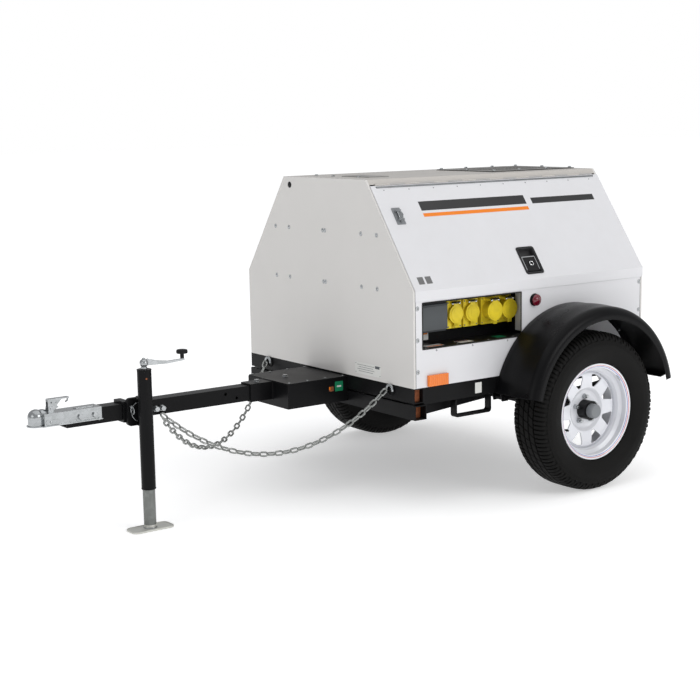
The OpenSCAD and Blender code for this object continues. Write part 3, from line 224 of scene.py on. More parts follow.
def slab(name, outline, thick, place, key, body="chassis", slot=None, edge=FILM_EDGE):
    with Piece(name, key, body, slot) as bm:
        add_slab(bm, outline, thick, place, edge)


def add_lathe(bm, profile, place, steps=48, a0=0.0, a1=math.tau):
    """A closed (radius, out) profile turned about the placer's out axis."""
    full = abs(a1 - a0 - math.tau) < 1e-6
    rows = []
    for i in range(steps if full else steps + 1):
        t = a0 + (a1 - a0) * i / steps
        rows.append([place(r * math.cos(t), r * math.sin(t), w) for r, w in profile])
    add_grid(bm, rows, close_rows=full, close_cols=True, caps=not full)


def add_bar(bm, a, b, radius, sides):
    """A straight round bar."""
    along = (b - a).normalized()
    normal = along.orthogonal().normalized()
    normal = (normal - along * normal.dot(along)).normalized()
    cross = along.cross(normal)
    rows = [[p + (normal * u + cross * v) * radius for u, v in circle(1, sides)] for p in (a, b)]
    add_grid(bm, rows, close_cols=True, caps=True)


# ---------- nodes of all kinds ----------
def add_node(tree, kind, inputs=(), **settings):
    """A node with its settings, its inputs given as plain values or as sockets to link."""
    node = tree.nodes.new(kind)
    for key, value in settings.items():
        setattr(node, key, value)
    for key, value in dict(inputs).items():
        if isinstance(value, bpy.types.NodeSocket):
            tree.links.new(value, node.inputs[key])
        else:
            node.inputs[key].default_value = value
    return node


def new_group(kind, name, inputs, outputs):
    """A node group with its ends; sockets are (label, type, value) and (label, type)."""
    tree = bpy.data.node_groups.new(name, kind)
    for label, socket_type, value in inputs:
        socket = tree.interface.new_socket(label, in_out="INPUT", socket_type="NodeSocket" + socket_type)
        if value is not None:
            socket.default_value = value
    for label, socket_type in outputs:
        tree.interface.new_socket(label, in_out="OUTPUT", socket_type="NodeSocket" + socket_type)
    return tree, tree.nodes.new("NodeGroupInput").outputs, tree.nodes.new("NodeGroupOutput").inputs


# ---------- geometry nodes ----------
TREES = {}


def new_tree(name, sockets):
    inputs = [("Geometry", "Geometry", None), *sockets, ("Material", "Material", None)]
    return new_group("GeometryNodeTree", name, inputs, [("Geometry", "Geometry")])


def finish_tree(tree, start, end, instances):
    """Ends a tree in Realize Instances and Set Material."""
    real = add_node(tree, "GeometryNodeRealizeInstances", {"Geometry": instances})
    paint = add_node(tree, "GeometryNodeSetMaterial", {"Geometry": real.outputs[0], "Material": start["Material"]})
    tree.links.new(paint.outputs[0], end[0])
    return tree


def points_tree():
    """Sets one small piece on every point, its own Z along the point's 'face' attribute."""
    tree, start, end = new_tree("pieces_on_points", [("Piece", "Object", None), ("Spin", "Float", 0.0)])
    info = add_node(tree, "GeometryNodeObjectInfo", {"Object": start["Piece"]})
    face = add_node(tree, "GeometryNodeInputNamedAttribute", {"Name": "face"}, data_type="FLOAT_VECTOR")
    align = add_node(tree, "FunctionNodeAlignRotationToVector", {"Vector": face.outputs["Attribute"]}, axis="Z")
    spin = add_node(tree, "FunctionNodeRandomValue", {"Seed": 7, 3: start["Spin"]}, data_type="FLOAT")
    turn = add_node(tree, "ShaderNodeCombineXYZ", {"Z": spin.outputs[1]})
    rotate = add_node(tree, "FunctionNodeRotateRotation", {
        "Rotation": align.outputs["Rotation"], "Rotate By": turn.outputs[0]}, rotation_space="LOCAL")
    inst = add_node(tree, "GeometryNodeInstanceOnPoints", {
        "Points": start["Geometry"], "Instance": info.outputs["Geometry"], "Rotation": rotate.outputs["Rotation"]})
    return finish_tree(tree, start, end, inst.outputs[0])


def turns_tree():
    """Repeats one piece around a wheel's axis."""
    tree, start, end = new_tree("pieces_round_axis", [("Count", "Int", 8), ("Centre", "Vector", None)])
    line = add_node(tree, "GeometryNodeMeshLine", {
        "Offset": (0, 0, 0), "Count": start["Count"], "Start Location": start["Centre"]}, mode="OFFSET")
    index = add_node(tree, "GeometryNodeInputIndex")
    share = math_node(tree, "DIVIDE", index.outputs[0], start["Count"])
    spin = add_node(tree, "ShaderNodeCombineXYZ", {"Y": math_node(tree, "MULTIPLY", share, math.tau)})
    inst = add_node(tree, "GeometryNodeInstanceOnPoints", {
        "Points": line.outputs[0], "Instance": start["Geometry"], "Rotation": spin.outputs[0]})
    return finish_tree(tree, start, end, inst.outputs[0])


def path_tree():
    """Sweeps a round bead along the edges of a path mesh."""
    tree, start, end = new_tree("bead_on_path", [
        ("Radius", "Float", 0.003), ("Ripple", "Float", 0.0), ("Pitch", "Float", 0.004)])
    curve = add_node(tree, "GeometryNodeMeshToCurve", {0: start["Geometry"]})
    again = add_node(tree, "GeometryNodeResampleCurve", {"Curve": curve.outputs[0], "Length": start["Pitch"]},
        mode="LENGTH")
    noise = add_node(tree, "ShaderNodeTexNoise", {"Scale": 180.0})
    wobble = math_node(tree, "MULTIPLY_ADD", noise.outputs[0], start["Ripple"], 1.0)
    sized = add_node(tree, "GeometryNodeSetCurveRadius", {"Curve": again.outputs[0], "Radius": wobble})
    ring = add_node(tree, "GeometryNodeCurvePrimitiveCircle", {"Resolution": 8, "Radius": start["Radius"]})
    sweep = add_node(tree, "GeometryNodeCurveToMesh", {
        "Fill Caps": True, "Curve": sized.outputs[0], "Profile Curve": ring.outputs[0]})
    if "Scale" in sweep.inputs:
        tree.links.new(wobble, sweep.inputs["Scale"])
    return finish_tree(tree, start, end, sweep.outputs[0])


def grown_by(tree, source, name, values):
    """Runs a geometry-nodes tree on an object once and keeps the result as a plain mesh."""
    mod = source.modifiers.new("grow", "NODES")
    mod.node_group = tree
    for item in tree.interface.items_tree:
        if item.item_type == "SOCKET" and item.in_out == "INPUT" and item.name in values:
            mod[item.identifier] = values[item.name]
    source.update_tag()
    bpy.context.view_layer.update()
    graph = bpy.context.evaluated_depsgraph_get()
    mesh = bpy.data.meshes.new_from_object(source.evaluated_get(graph), depsgraph=graph)
    mesh.name = name
    source.modifiers.remove(mod)
    bpy.data.objects.remove(source)
    return linked(name, mesh)


def loose_object(name, verts, edges=(), face=None):
    mesh = bpy.data.meshes.new(name)
    mesh.from_pydata([tuple(v) for v in verts], list(edges), [])
    if face is not None:
        attr = mesh.attributes.new("face", "FLOAT_VECTOR", "POINT")
        for i, v in enumerate(face):
            attr.data[i].vector = v
    return linked(name, mesh)


def set_on_points(name, template, places, key, body="chassis", spin=0.0):
    """Copies of a small piece, each at a placer's origin and facing out of it."""
    at = [p(0, 0, 0) for p in places]
    face = [(p(0, 0, 1) - p(0, 0, 0)).normalized() for p in places]
    values = {"Piece": template, "Spin": spin, "Material": MATERIAL[key]}
    obj = grown_by(TREES["points"], loose_object(name + "_points", at, face=face), name, values)
    bpy.data.objects.remove(template)
    finish_piece(smoothed(obj), key, body)


def bead(name, paths, radius, key, body="chassis", ripple=0.0, pitch=0.004):
    """A bead, such as a weld or an edge seal, along one or more paths of points."""
    verts, edges = [], []
    for points, closed in paths:
        start = len(verts)
        verts += points
        edges += [(start + i, start + i + 1) for i in range(len(points) - 1)]
        if closed:
            edges.append((start + len(points) - 1, start))
    values = {"Radius": radius, "Ripple": ripple, "Pitch": pitch, "Material": MATERIAL[key]}
    obj = grown_by(TREES["path"], loose_object(name + "_path", verts, edges), name, values)
    finish_piece(smoothed(obj, sharp=False), key, body)


# ---------- shader node groups ----------
def math_node(tree, kind, a, b=None, c=None, clamp=False):
    inputs = {i: value for i, value in enumerate((a, b, c)) if value is not None}
    return add_node(tree, "ShaderNodeMath", inputs, operation=kind, use_clamp=clamp).outputs[0]


def shader_group(name, inputs, outputs):
    return new_group("ShaderNodeTree", name, [("Vector", "Vector", None), *inputs], outputs)


def noise_node(tree, vector, scale, detail):
    return add_node(tree, "ShaderNodeTexNoise", {"Vector": vector, "Scale": scale, "Detail": detail}).outputs[0]


def scaled_product(tree, a, b, amount):
    return math_node(tree, "MULTIPLY", math_node(tree, "MULTIPLY", a, b), amount, clamp=True)


def grain_group():
    """Fine surface grain: a height and a slow shade."""
    tree, start, end = shader_group("surface_grain", [("Fine", "Float", 900.0), ("Slow", "Float", 6.0)],
                                    [("Height", "Float"), ("Shade", "Float")])
    tree.links.new(noise_node(tree, start["Vector"], start["Fine"], 2.0), end["Height"])
    tree.links.new(noise_node(tree, start["Vector"], start["Slow"], 4.0), end["Shade"])
    return tree


def wear_group():
    """Edges rubbed by handling: a mask from the rounded normal, broken up by noise."""
    tree, start, end = shader_group("edge_wear", [("Width", "Float", 0.002), ("Amount", "Float", 0.5)],
                                    [("Mask", "Float"), ("Normal", "Vector")])
    soft = add_node(tree, "ShaderNodeBevel", {"Radius": start["Width"]}, samples=4).outputs[0]
    geo = add_node(tree, "ShaderNodeNewGeometry")
    dot = add_node(tree, "ShaderNodeVectorMath", {0: soft, 1: geo.outputs["Normal"]}, operation="DOT_PRODUCT")
    edge = math_node(tree, "MULTIPLY_ADD", dot.outputs["Value"], -8.0, 7.7, clamp=True)
    worn = math_node(tree, "MULTIPLY_ADD", noise_node(tree, start["Vector"], 70.0, 5.0), 6.0, -2.9, clamp=True)
    tree.links.new(scaled_product(tree, edge, worn, start["Amount"]), end["Mask"])
    tree.links.new(soft, end["Normal"])
    return tree


def dust_group():
    """Dust that settles on faces that look up, in soft patches."""
    tree, start, end = shader_group("settled_dust", [("Amount", "Float", 0.3)], [("Mask", "Float")])
    geo = add_node(tree, "ShaderNodeNewGeometry")
    part = add_node(tree, "ShaderNodeSeparateXYZ", {0: geo.outputs["Normal"]})
    up = math_node(tree, "MULTIPLY_ADD", part.outputs["Z"], 1.6, -0.5, clamp=True)
    patch = math_node(tree, "MULTIPLY_ADD", noise_node(tree, start["Vector"], 14.0, 6.0), 2.4, -0.7, clamp=True)
    tree.links.new(scaled_product(tree, up, patch, start["Amount"]), end["Mask"])
    return tree


def box_group():
    """1 inside a box, 0 outside."""
    tree, start, end = shader_group("inside_box", [("Low", "Vector", None), ("High", "Vector", None)],
                                    [("Mask", "Float")])
    at, lo, hi = [add_node(tree, "ShaderNodeSeparateXYZ", {0: start[label]}).outputs
        for label in ("Vector", "Low", "High")]
    mask = None
    for axis in "XYZ":
        for kind, other in (("GREATER_THAN", lo), ("LESS_THAN", hi)):
            test = math_node(tree, kind, at[axis], other[axis])
            mask = test if mask is None else math_node(tree, "MULTIPLY", mask, test)
    tree.links.new(mask, end["Mask"])
    return tree


def slope_group():
    """Turns a place into (along, down the slope, out of the slope) on either side."""
    tree, start, end = shader_group("slope_place", [], [("Vector", "Vector")])
    part = add_node(tree, "ShaderNodeSeparateXYZ", {0: start[0]}).outputs
    y = math_node(tree, "SUBTRACT", math_node(tree, "ABSOLUTE", part["Y"]), ROOF_Y)
    z = math_node(tree, "SUBTRACT", part["Z"], TOP_Z)
    places = {"X": part["X"]}
    for label, axis in (("Y", DOWN), ("Z", OUT)):
        terms = math_node(tree, "MULTIPLY", y, -axis.y), math_node(tree, "MULTIPLY", z, axis.z)
        places[label] = math_node(tree, "ADD", *terms)
    tree.links.new(add_node(tree, "ShaderNodeCombineXYZ", places).outputs[0], end[0])
    return tree


# ---------- materials ----------
GROUPS = {}
MATERIAL = {}


class Finish:
    """A material in the making: one Principled shader fed by colour layers."""

    def __init__(self, name, colour, rough, metallic=0.0, coat=0.0, specular=0.5, coat_rough=0.06):
        self.mat = bpy.data.materials.new(name)
        self.mat.use_nodes = True
        self.tree = self.mat.node_tree
        self.bsdf = self.tree.nodes["Principled BSDF"]
        self.place = self.add("ShaderNodeTexCoord").outputs["Object"]
        self.rough = rough
        self.colour = (*colour, 1)
        self.normal = None
        for label, value in {"Metallic": metallic, "Coat Weight": coat, "Coat Roughness": coat_rough, "IOR": 1.45,
                             "Specular IOR Level": specular, "Base Color": self.colour, "Roughness": rough}.items():
            self.bsdf.inputs[label].default_value = value

    def add(self, kind, inputs=(), **settings):
        return add_node(self.tree, kind, inputs, **settings)

    def math(self, kind, *values, clamp=False):
        return math_node(self.tree, kind, *values, clamp=clamp)

    def feed(self, label, socket):
        self.tree.links.new(socket, self.bsdf.inputs[label])

    def group(self, name, place=None, **values):
        inputs = {key.title(): value for key, value in values.items()}
        return self.add("ShaderNodeGroup", {"Vector": place or self.place, **inputs}, node_tree=GROUPS[name])

    def layer(self, mask, colour):
        """Lays a colour over the ones below where the mask is 1."""
        mix = self.add("ShaderNodeMix", {"Factor": mask}, data_type="RGBA")
        mix.inputs["B"].default_value = (*colour, 1)
        if isinstance(self.colour, tuple):
            mix.inputs["A"].default_value = self.colour
        else:
            self.tree.links.new(self.colour, mix.inputs["A"])
        self.colour = mix.outputs["Result"]
        self.feed("Base Color", self.colour)
        return self

    def grain(self, fine, depth, slow=5.0, shade=None, spread=0.1, strength=1.0):
        """Grain in the surface, with the roughness and the shade varying slowly."""
        node = self.group("grain", fine=fine, slow=slow)
        inputs = {"Distance": depth, "Strength": strength, "Height": node.outputs["Height"]}
        if self.normal is not None:
            inputs["Normal"] = self.normal
        self.normal = self.add("ShaderNodeBump", inputs).outputs[0]
        self.feed("Normal", self.normal)
        slow_shade = node.outputs["Shade"]
        self.feed("Roughness", self.math("MULTIPLY_ADD", slow_shade, spread * 2, self.rough - spread, clamp=True))
        if shade:
            self.layer(self.math("MULTIPLY_ADD", slow_shade, 2.2, -0.6, clamp=True), shade)
        return self

    def wear(self, colour, width=0.0015, amount=0.5):
        node = self.group("wear", width=width, amount=amount)
        self.normal = node.outputs["Normal"]
        self.feed("Normal", self.normal)
        return self.layer(node.outputs["Mask"], colour)

    def dust(self, colour=(0.42, 0.39, 0.35), amount=0.2):
        return self.layer(self.group("dust", amount=amount).outputs["Mask"], colour)

    def inside(self, lo, hi, colour, place=None):
        """Another colour inside a box."""
        return self.layer(self.group("box", place, low=lo, high=hi).outputs["Mask"], colour)

    def spangle(self, scale, dark):
        """The mottled crystals of a zinc coat."""
        cells = self.add("ShaderNodeTexVoronoi", {"Scale": scale, "Vector": self.place})
        return self.layer(self.add("ShaderNodeSeparateColor", {0: cells.outputs["Color"]}).outputs[0], dark)


def shaded(colour, share):
    return [v * share for v in colour]


def powder(name, colour, rough=0.34, dust=0.12):
    made = Finish(name, colour, rough, coat=0.12, specular=0.42).wear((0.55, 0.55, 0.55), 0.0016, 0.15)
    return made.grain(420, 0.00012, 3.0, shaded(colour, 0.965), 0.05, 0.5).dust(amount=dust)


def door_finish(colour):
    """The doors carry a black latch dish, a zinc keeper and the hinge leaves."""
    made = powder("door_powder_coat", colour)
    slope = made.group("slope").outputs[0]
    black, zinc, hinge = (0.035, 0.035, 0.037), (0.2, 0.21, 0.22), (0.42, 0.41, 0.4)

    def dish(grow, n0, n1):
        u, s = 0.044 + grow, 0.06 + grow
        made.inside((LATCH_X - u, LATCH_S - s, n0), (LATCH_X + u, LATCH_S + s, n1), black, slope)

    dish(0, -0.05, 0.02)
    dish(0.008, 0.0038, 0.02)
    dish(0.008, -0.05, 0.0008)
    made.inside((CANOPY_X0 + 0.06, 0.14, 0.0038), (CANOPY_X0 + 0.115, 0.23, 0.05), zinc, slope)
    return made.inside((0, 0.0, -0.02), (1.5, 0.034, 0.02), hinge, slope)


def rim_finish(colour):
    """White enamel with a red and a blue line round the flange."""
    made = Finish("rim_enamel", colour, 0.22, coat=0.5, coat_rough=0.05).wear((0.5, 0.5, 0.5), 0.0012, 0.15)
    made.grain(300, 0.0001, 6, shaded(colour, 0.97), 0.05)
    centred = made.add("ShaderNodeMapping", {0: made.place, "Location": (-AXLE_X, 0, -HUB_Z)})
    flat = made.add("ShaderNodeVectorMath", {0: centred.outputs[0], 1: (1, 0, 1)}, operation="MULTIPLY")
    length = made.add("ShaderNodeVectorMath", {0: flat.outputs[0]}, operation="LENGTH").outputs["Value"]
    for inset, line in ((0.0085, (0.6, 0.03, 0.03)), (0.0135, (0.03, 0.1, 0.45))):
        off = made.math("ABSOLUTE", made.math("SUBTRACT", length, RIM_R - inset))
        made.layer(made.math("LESS_THAN", off, 0.0009), line)
    return made.dust((0.4, 0.37, 0.33), 0.15)


def hub_finish():
    """Black with the bare end of the spindle."""
    made = Finish("hub_enamel", (0.008, 0.008, 0.009), 0.32, specular=0.2).grain(400, 0.0002, spread=0.08)
    for side, _ in SIDES:
        lo, hi = sorted((side * (TYRE_Y + 0.0441), side * (TYRE_Y + 0.09)))
        made.inside((AXLE_X - 0.04, lo, HUB_Z - 0.04), (AXLE_X + 0.04, hi, HUB_Z + 0.04), (0.2, 0.21, 0.22))
    return made


def socket_finish(colour):
    """Yellow covers, and a dark plate left of the first one."""
    made = Finish("yellow_moulding", colour, 0.36).wear([min(1, v * 1.2 + 0.03) for v in colour], 0.0012, 0.4)
    made.grain(1000, 0.00008, 30, shaded(colour, 0.86), 0.08)
    made.inside((0, -0.7, 0.5), (low("socket_cover_1")[0] - 0.004, -0.3, 1.0), (0.05, 0.055, 0.06))
    return made.dust((0.3, 0.25, 0.12), 0.15)


def lens_finish():
    """Ribbed amber lenses in front, red ones behind."""
    lens = Finish("lamp_lens", (0.78, 0.16, 0.003), 0.16, coat=0.5)
    ribs = lens.add("ShaderNodeTexWave", {0: lens.place, "Scale": 32.0}).outputs[1]
    lens.feed("Normal", lens.add("ShaderNodeBump", {"Distance": 0.0008, "Height": ribs}).outputs[0])
    lens.layer(lens.math("MULTIPLY", ribs, 0.2), (0.9, 0.32, 0.03))
    return lens.inside((1.2, -1, 0), (2, 1, 1), (0.4, 0.008, 0.01))


def make_materials():
    c = bpy.context.scene.generator_colours
    grey, bright, dirt = (0.3, 0.3, 0.3), (0.6, 0.6, 0.6), (0.15, 0.14, 0.12)
    made = {
        "white": powder("white_powder_coat", c.panel),
        # Front and rear panels: the side panels' white paint made darker and warmer, as painted shade on the end
        # walls
        "painted_shade_white": powder("end_panel_white_painted_shade", c.end_panel, 0.4),
        # Roof: the white paint made grey-beige as painted shade, with dust on top
        "roof": powder("roof_white_painted_shade", c.roof, 0.42, dust=0.35),
        "door": door_finish(c.panel),
        "frame": Finish("frame_enamel", c.frame, 0.34, specular=0.12).wear((0.08, 0.078, 0.075), 0.0018, 0.3)
        .grain(260, 0.0002, 4, (0.007, 0.007, 0.0075), 0.09).dust((0.07, 0.068, 0.062), 0.05),
        "fender": Finish("fender_plastic", c.fender, 0.28, specular=0.12).wear((0.014, 0.014, 0.015), 0.003, 0.2)
        .grain(700, 0.00025, 3, (0.005, 0.005, 0.0055), 0.06).dust((0.035, 0.034, 0.032), 0.06),
        "moulded": Finish("black_moulding", (0.01, 0.01, 0.011), 0.45, specular=0.2)
        .wear((0.05, 0.05, 0.05), 0.001, 0.3).grain(1100, 0.0001, spread=0.08).dust((0.12, 0.115, 0.11), 0.15),
        "rubber": Finish("seal_rubber", (0.014, 0.014, 0.014), 0.62, specular=0.3)
        .grain(900, 0.0002, 5, (0.022, 0.021, 0.02), 0.08),
        "tyre": Finish("tyre_rubber", c.tyre, 0.6, specular=0.1).wear((0.035, 0.034, 0.033), 0.0015, 0.5)
        .grain(520, 0.0003, 9, (0.009, 0.0088, 0.0085), 0.08).dust((0.035, 0.032, 0.028), 0.1),
        "zinc": Finish("bright_zinc", (0.42, 0.435, 0.445), 0.2, metallic=0.95).spangle(60, (0.34, 0.355, 0.36))
        .wear((0.8, 0.8, 0.8), 0.001, 0.4).grain(800, 0.00008, 14),
        # Jack leg and foot: dull zinc, its own finish, with the colour made darker than the bright zinc as painted
        # shade for the upright leg's dark reflections; the lighter band near the floor (below 2 cm, in the front
        # half) is painted light on the foot's top
        "tube": Finish("jack_zinc_painted_shade_and_light", (0.21, 0.22, 0.21), 0.4, metallic=0.6).spangle(70, (0.17, 0.178, 0.17))
        .inside((-2, -1, -0.01), (0, 1, 0.02), (0.62, 0.62, 0.58)).wear(bright, 0.001, 0.4)
        .grain(800, 0.00015, 22, spread=0.12),
        "chain": Finish("galvanised_chain", (0.36, 0.37, 0.36), 0.26, metallic=0.9).spangle(90, (0.25, 0.26, 0.25))
        .grain(600, 0.0003, 60, spread=0.14).dust((0.33, 0.3, 0.26), 0.2),
        "chrome": Finish("chrome_trim", (0.78, 0.79, 0.8), 0.12, metallic=1.0).grain(300, 0.00003, 20, spread=0.05),
        "steel": Finish("brushed_plate", (0.26, 0.27, 0.28), 0.36, metallic=0.9)
        .grain(1500, 0.00006, 30, (0.19, 0.2, 0.205)),
        "rim": rim_finish(c.rim),
        "hub": hub_finish(),
        "socket": socket_finish(c.socket),
        "flap": Finish("grey_moulding", (0.1, 0.11, 0.12), 0.35).wear((0.2, 0.2, 0.2), 0.001, 0.4)
        .grain(1200, 0.00008, 5, (0.085, 0.095, 0.1), 0.08),
        "red": Finish("red_button", (0.16, 0.003, 0.016), 0.14, coat=0.6)
        .grain(500, 0.00003, 5, (0.12, 0.002, 0.012), 0.04),
        "lamp": lens_finish(),
        "engine": Finish("engine_casting", (0.1, 0.115, 0.13), 0.48, metallic=0.35).wear(grey, 0.002, 0.3)
        .grain(300, 0.0006, 8, (0.07, 0.08, 0.09), 0.12).dust(dirt, 0.4),
        "alternator": Finish("alternator_casting", (0.05, 0.14, 0.28), 0.42, metallic=0.2).wear(grey, 0.002, 0.3)
        .grain(350, 0.0005, 8, (0.04, 0.1, 0.22)).dust(dirt, 0.35),
        "tank": Finish("tank_moulding", (0.02, 0.02, 0.021), 0.5, specular=0.4)
        .grain(500, 0.0004, 5, (0.03, 0.03, 0.03), 0.06),
        "hatch": Finish("hatch_sheet", (0.3, 0.295, 0.285), 0.38, metallic=0.5).wear(bright, 0.001, 0.4)
        .grain(500, 0.00012, 9, (0.24, 0.235, 0.225)).dust(amount=0.3),
        "rust": Finish("bare_tube_end", (0.32, 0.09, 0.025), 0.75).grain(240, 0.0006, 60, (0.16, 0.045, 0.015), 0.12),
        "foam": Finish("lining_foam", (0.035, 0.035, 0.037), 0.92, specular=0.15)
        .grain(140, 0.004, 30, (0.02, 0.02, 0.021), 0.05),
    }
    for key, name, colour, rough, shade in (
            ("orange", "orange_film", (0.85, 0.22, 0.01), 0.3, (0.78, 0.2, 0.01)),
            ("dark", "charcoal_film", (0.022, 0.022, 0.024), 0.3, (0.03, 0.03, 0.03)),
            ("grey", "grey_film", (0.16, 0.16, 0.16), 0.35, (0.14, 0.14, 0.14)),
            ("green", "green_film", (0.01, 0.22, 0.1), 0.3, (0.01, 0.18, 0.08)),
            ("label", "pale_label", (0.72, 0.72, 0.7), 0.35, (0.66, 0.66, 0.63))):
        made[key] = Finish(name, colour, rough).grain(600, 0.00004, 5, shade, 0.05)
    for key, finish in made.items():
        MATERIAL[key] = finish.mat


NODE_FINISH = {
    "white": "side_panel_left side_panel_right",
    "painted_shade_white": "front_panel rear_panel",
    "roof": "roof_panel door_hinges",
    "door": "door_left door_right",
    "frame": "skid_frame lower_frame tongue_tube tongue_box tongue_box_lid jack_bracket jack_outer_tube axle_beam"
             " leaf_springs spring_hangers step_loops base_tray outlet_tray",
    "tube": "jack_inner_leg jack_foot",
    "zinc": "tongue_fasteners coupler_body coupler_latch jack_crank jack_pull_pin chain_anchors spring_clamps"
            " lug_nuts_left lug_nuts_right canopy_fasteners",
    "chain": "chain_near chain_far",
    "fender": "fenders",
    "tyre": "tyre_left tyre_right",
    "rim": "rim_left rim_right",
    "hub": "hub_left hub_right",
    "moulded": "latch_left latch_right jack_knob fuel_cap",
    "socket": "outlet_sockets socket_cover_1 socket_cover_2 socket_cover_3 socket_cover_4",
    "flap": "breaker_flap cooling_fan",
    "red": "stop_button",
    "lamp": "lamps",
    "engine": "engine cooling_pack",
    "alternator": "alternator",
    "tank": "fuel_tank",
    "hatch": "roof_hatch",
}
SLOT = {
    "tyre": "tyre", "moulded": "black_plastic", "fender": "black_plastic", "rubber": "black_rubber",
    "foam": "black_rubber", "zinc": "zinc", "tube": "zinc", "steel": "zinc", "chrome": "zinc", "socket": "yellow",
    "flap": "grey_plastic", "frame": "black_frame", "hatch": "hatch_metal", "engine": "engine_paint",
    "alternator": "alternator_paint", "label": "white_paint", "orange": "white_paint", "dark": "white_paint",
    "grey": "white_paint", "green": "white_paint", "red": "white_paint", "rust": "amber",
}


def paint_nodes():
    for key, names in NODE_FINISH.items():
        for name in names.split():
            mesh = NODE[name].data
            mesh.materials.clear()
            mesh.materials.append(MATERIAL[key])


def make_finishes():
    TREES.update(points=points_tree(), turns=turns_tree(), path=path_tree())
    GROUPS.update(grain=grain_group(), wear=wear_group(), dust=dust_group(), box=box_group(), slope=slope_group())
    make_materials()
    paint_nodes()


# ---------- wheels ----------
TYRE_MARKS = ((0, 0.0), (0.0575, 0.001), (0.0745, 0.006), (0.0885, 0.018), (0.0965, 0.036), (0.1025, 0.062))


def wheel_face(side):
    return lambda u, v, w: Vector((AXLE_X + u, side * (TYRE_Y + w), HUB_Z + v))


def blend_points(points, steps=4):
    """A smooth line through the points."""
    out = []
    for i in range(len(points) - 1):
        around = points[max(i - 1, 0)], points[i], points[i + 1], points[min(i + 2, len(points) - 1)]
        for k in range(steps):
            t = k / steps
            out.append(tuple(
                0.5 * (2 * b + (c - a) * t + (2 * a - 5 * b + 4 * c - d) * t * t + (3 * b - a - 3 * c + d) * t ** 3)
                for a, b, c, d in zip(*around)))
    return out + [points[-1]]


def crown(a):
    """Radius of the tread's top at a distance from the middle."""
    a = abs(a) * TYRE_MARKS[-1][0] / TYRE_HALF
    for (a0, d0), (a1, d1) in zip(TYRE_MARKS, TYRE_MARKS[1:]):
        if a <= a1:
            return TYRE_R - d0 - (d1 - d0) * (a - a0) / (a1 - a0)
    return TYRE_R - TYRE_MARKS[-1][1]


def tyre_outline(groove):
    """The closed (radius, out) profile of the tyre's body, with the tread blocks left off."""
    wall = blend_points([(TYRE_R - d, a) for d, a in (
        (0.036, 0.0965), (0.048, 0.1), (0.062, 0.1022), (0.088, 0.1002), (0.112, 0.092), (0.13, 0.0815))]
        + [(RIM_R + 0.003, 0.0738)])
    half = [(crown(0.0885 * k / 10) - groove, 0.0885 * k / 10) for k in range(11)] + [(crown(0.093) - 0.006, 0.091)]
    for r, a in wall:
        ringed = abs(r - (TYRE_R - 0.078)) < 0.004 or abs(r - (TYRE_R - 0.118)) < 0.003
        half.append((r, a - 0.0005 + (0.0007 if ringed else 0)))
    half += [(RIM_R + 0.0006, 0.0712), (RIM_R - 0.0138, 0.0652), (RIM_R - 0.0138, 0.0605), (RIM_R - 0.002, 0.0605)]
    half += [(TYRE_R - d, a) for d, a in ((0.11, 0.078), (0.07, 0.088), (0.03, 0.072), (0.018, 0.05), (0.014, 0))]
    return half + [(r, -a) for r, a in half[-2:0:-1]]


def add_block(bm, place, a0, a1, t0, t1, skew, depth):
    """One tread block with chamfered edges, standing on the tyre's body."""
    cut = 0.0016
    turn = cut / TYRE_R
    sign = 1 if a1 > a0 else -1
    spread = abs(a1 - a0)
    alongs = [a0] + [a0 + sign * cut + sign * (spread - 2 * cut) * k / 3 for k in range(4)] + [a1]
    turns = [t0, t0 + turn, t1 - turn, t1]
    m, n = len(alongs), len(turns)
    rows = []
    for i, a in enumerate(alongs):
        lean = skew * (a - a0) / spread
        rows.append([(crown(a) - (cut if i in (0, m - 1) or j in (0, n - 1) else 0.0), a, t + lean)
                     for j, t in enumerate(turns)])
    grid = add_grid(bm, [[place(*p) for p in row] for row in rows])
    rim = [(0, j) for j in range(n)] + [(i, n - 1) for i in range(1, m)]
    rim += [(m - 1, j) for j in range(n - 2, -1, -1)] + [(i, 0) for i in range(m - 2, 0, -1)]
    base = [bm.verts.new(place(rows[i][j][0] - depth, *rows[i][j][1:])) for i, j in rim]
    for k, (i, j) in enumerate(rim):
        following = (k + 1) % len(rim)
        a, b = rim[following]
        bm.faces.new((grid[i][j], grid[a][b], base[following], base[k]))
    bm.faces.new(base)


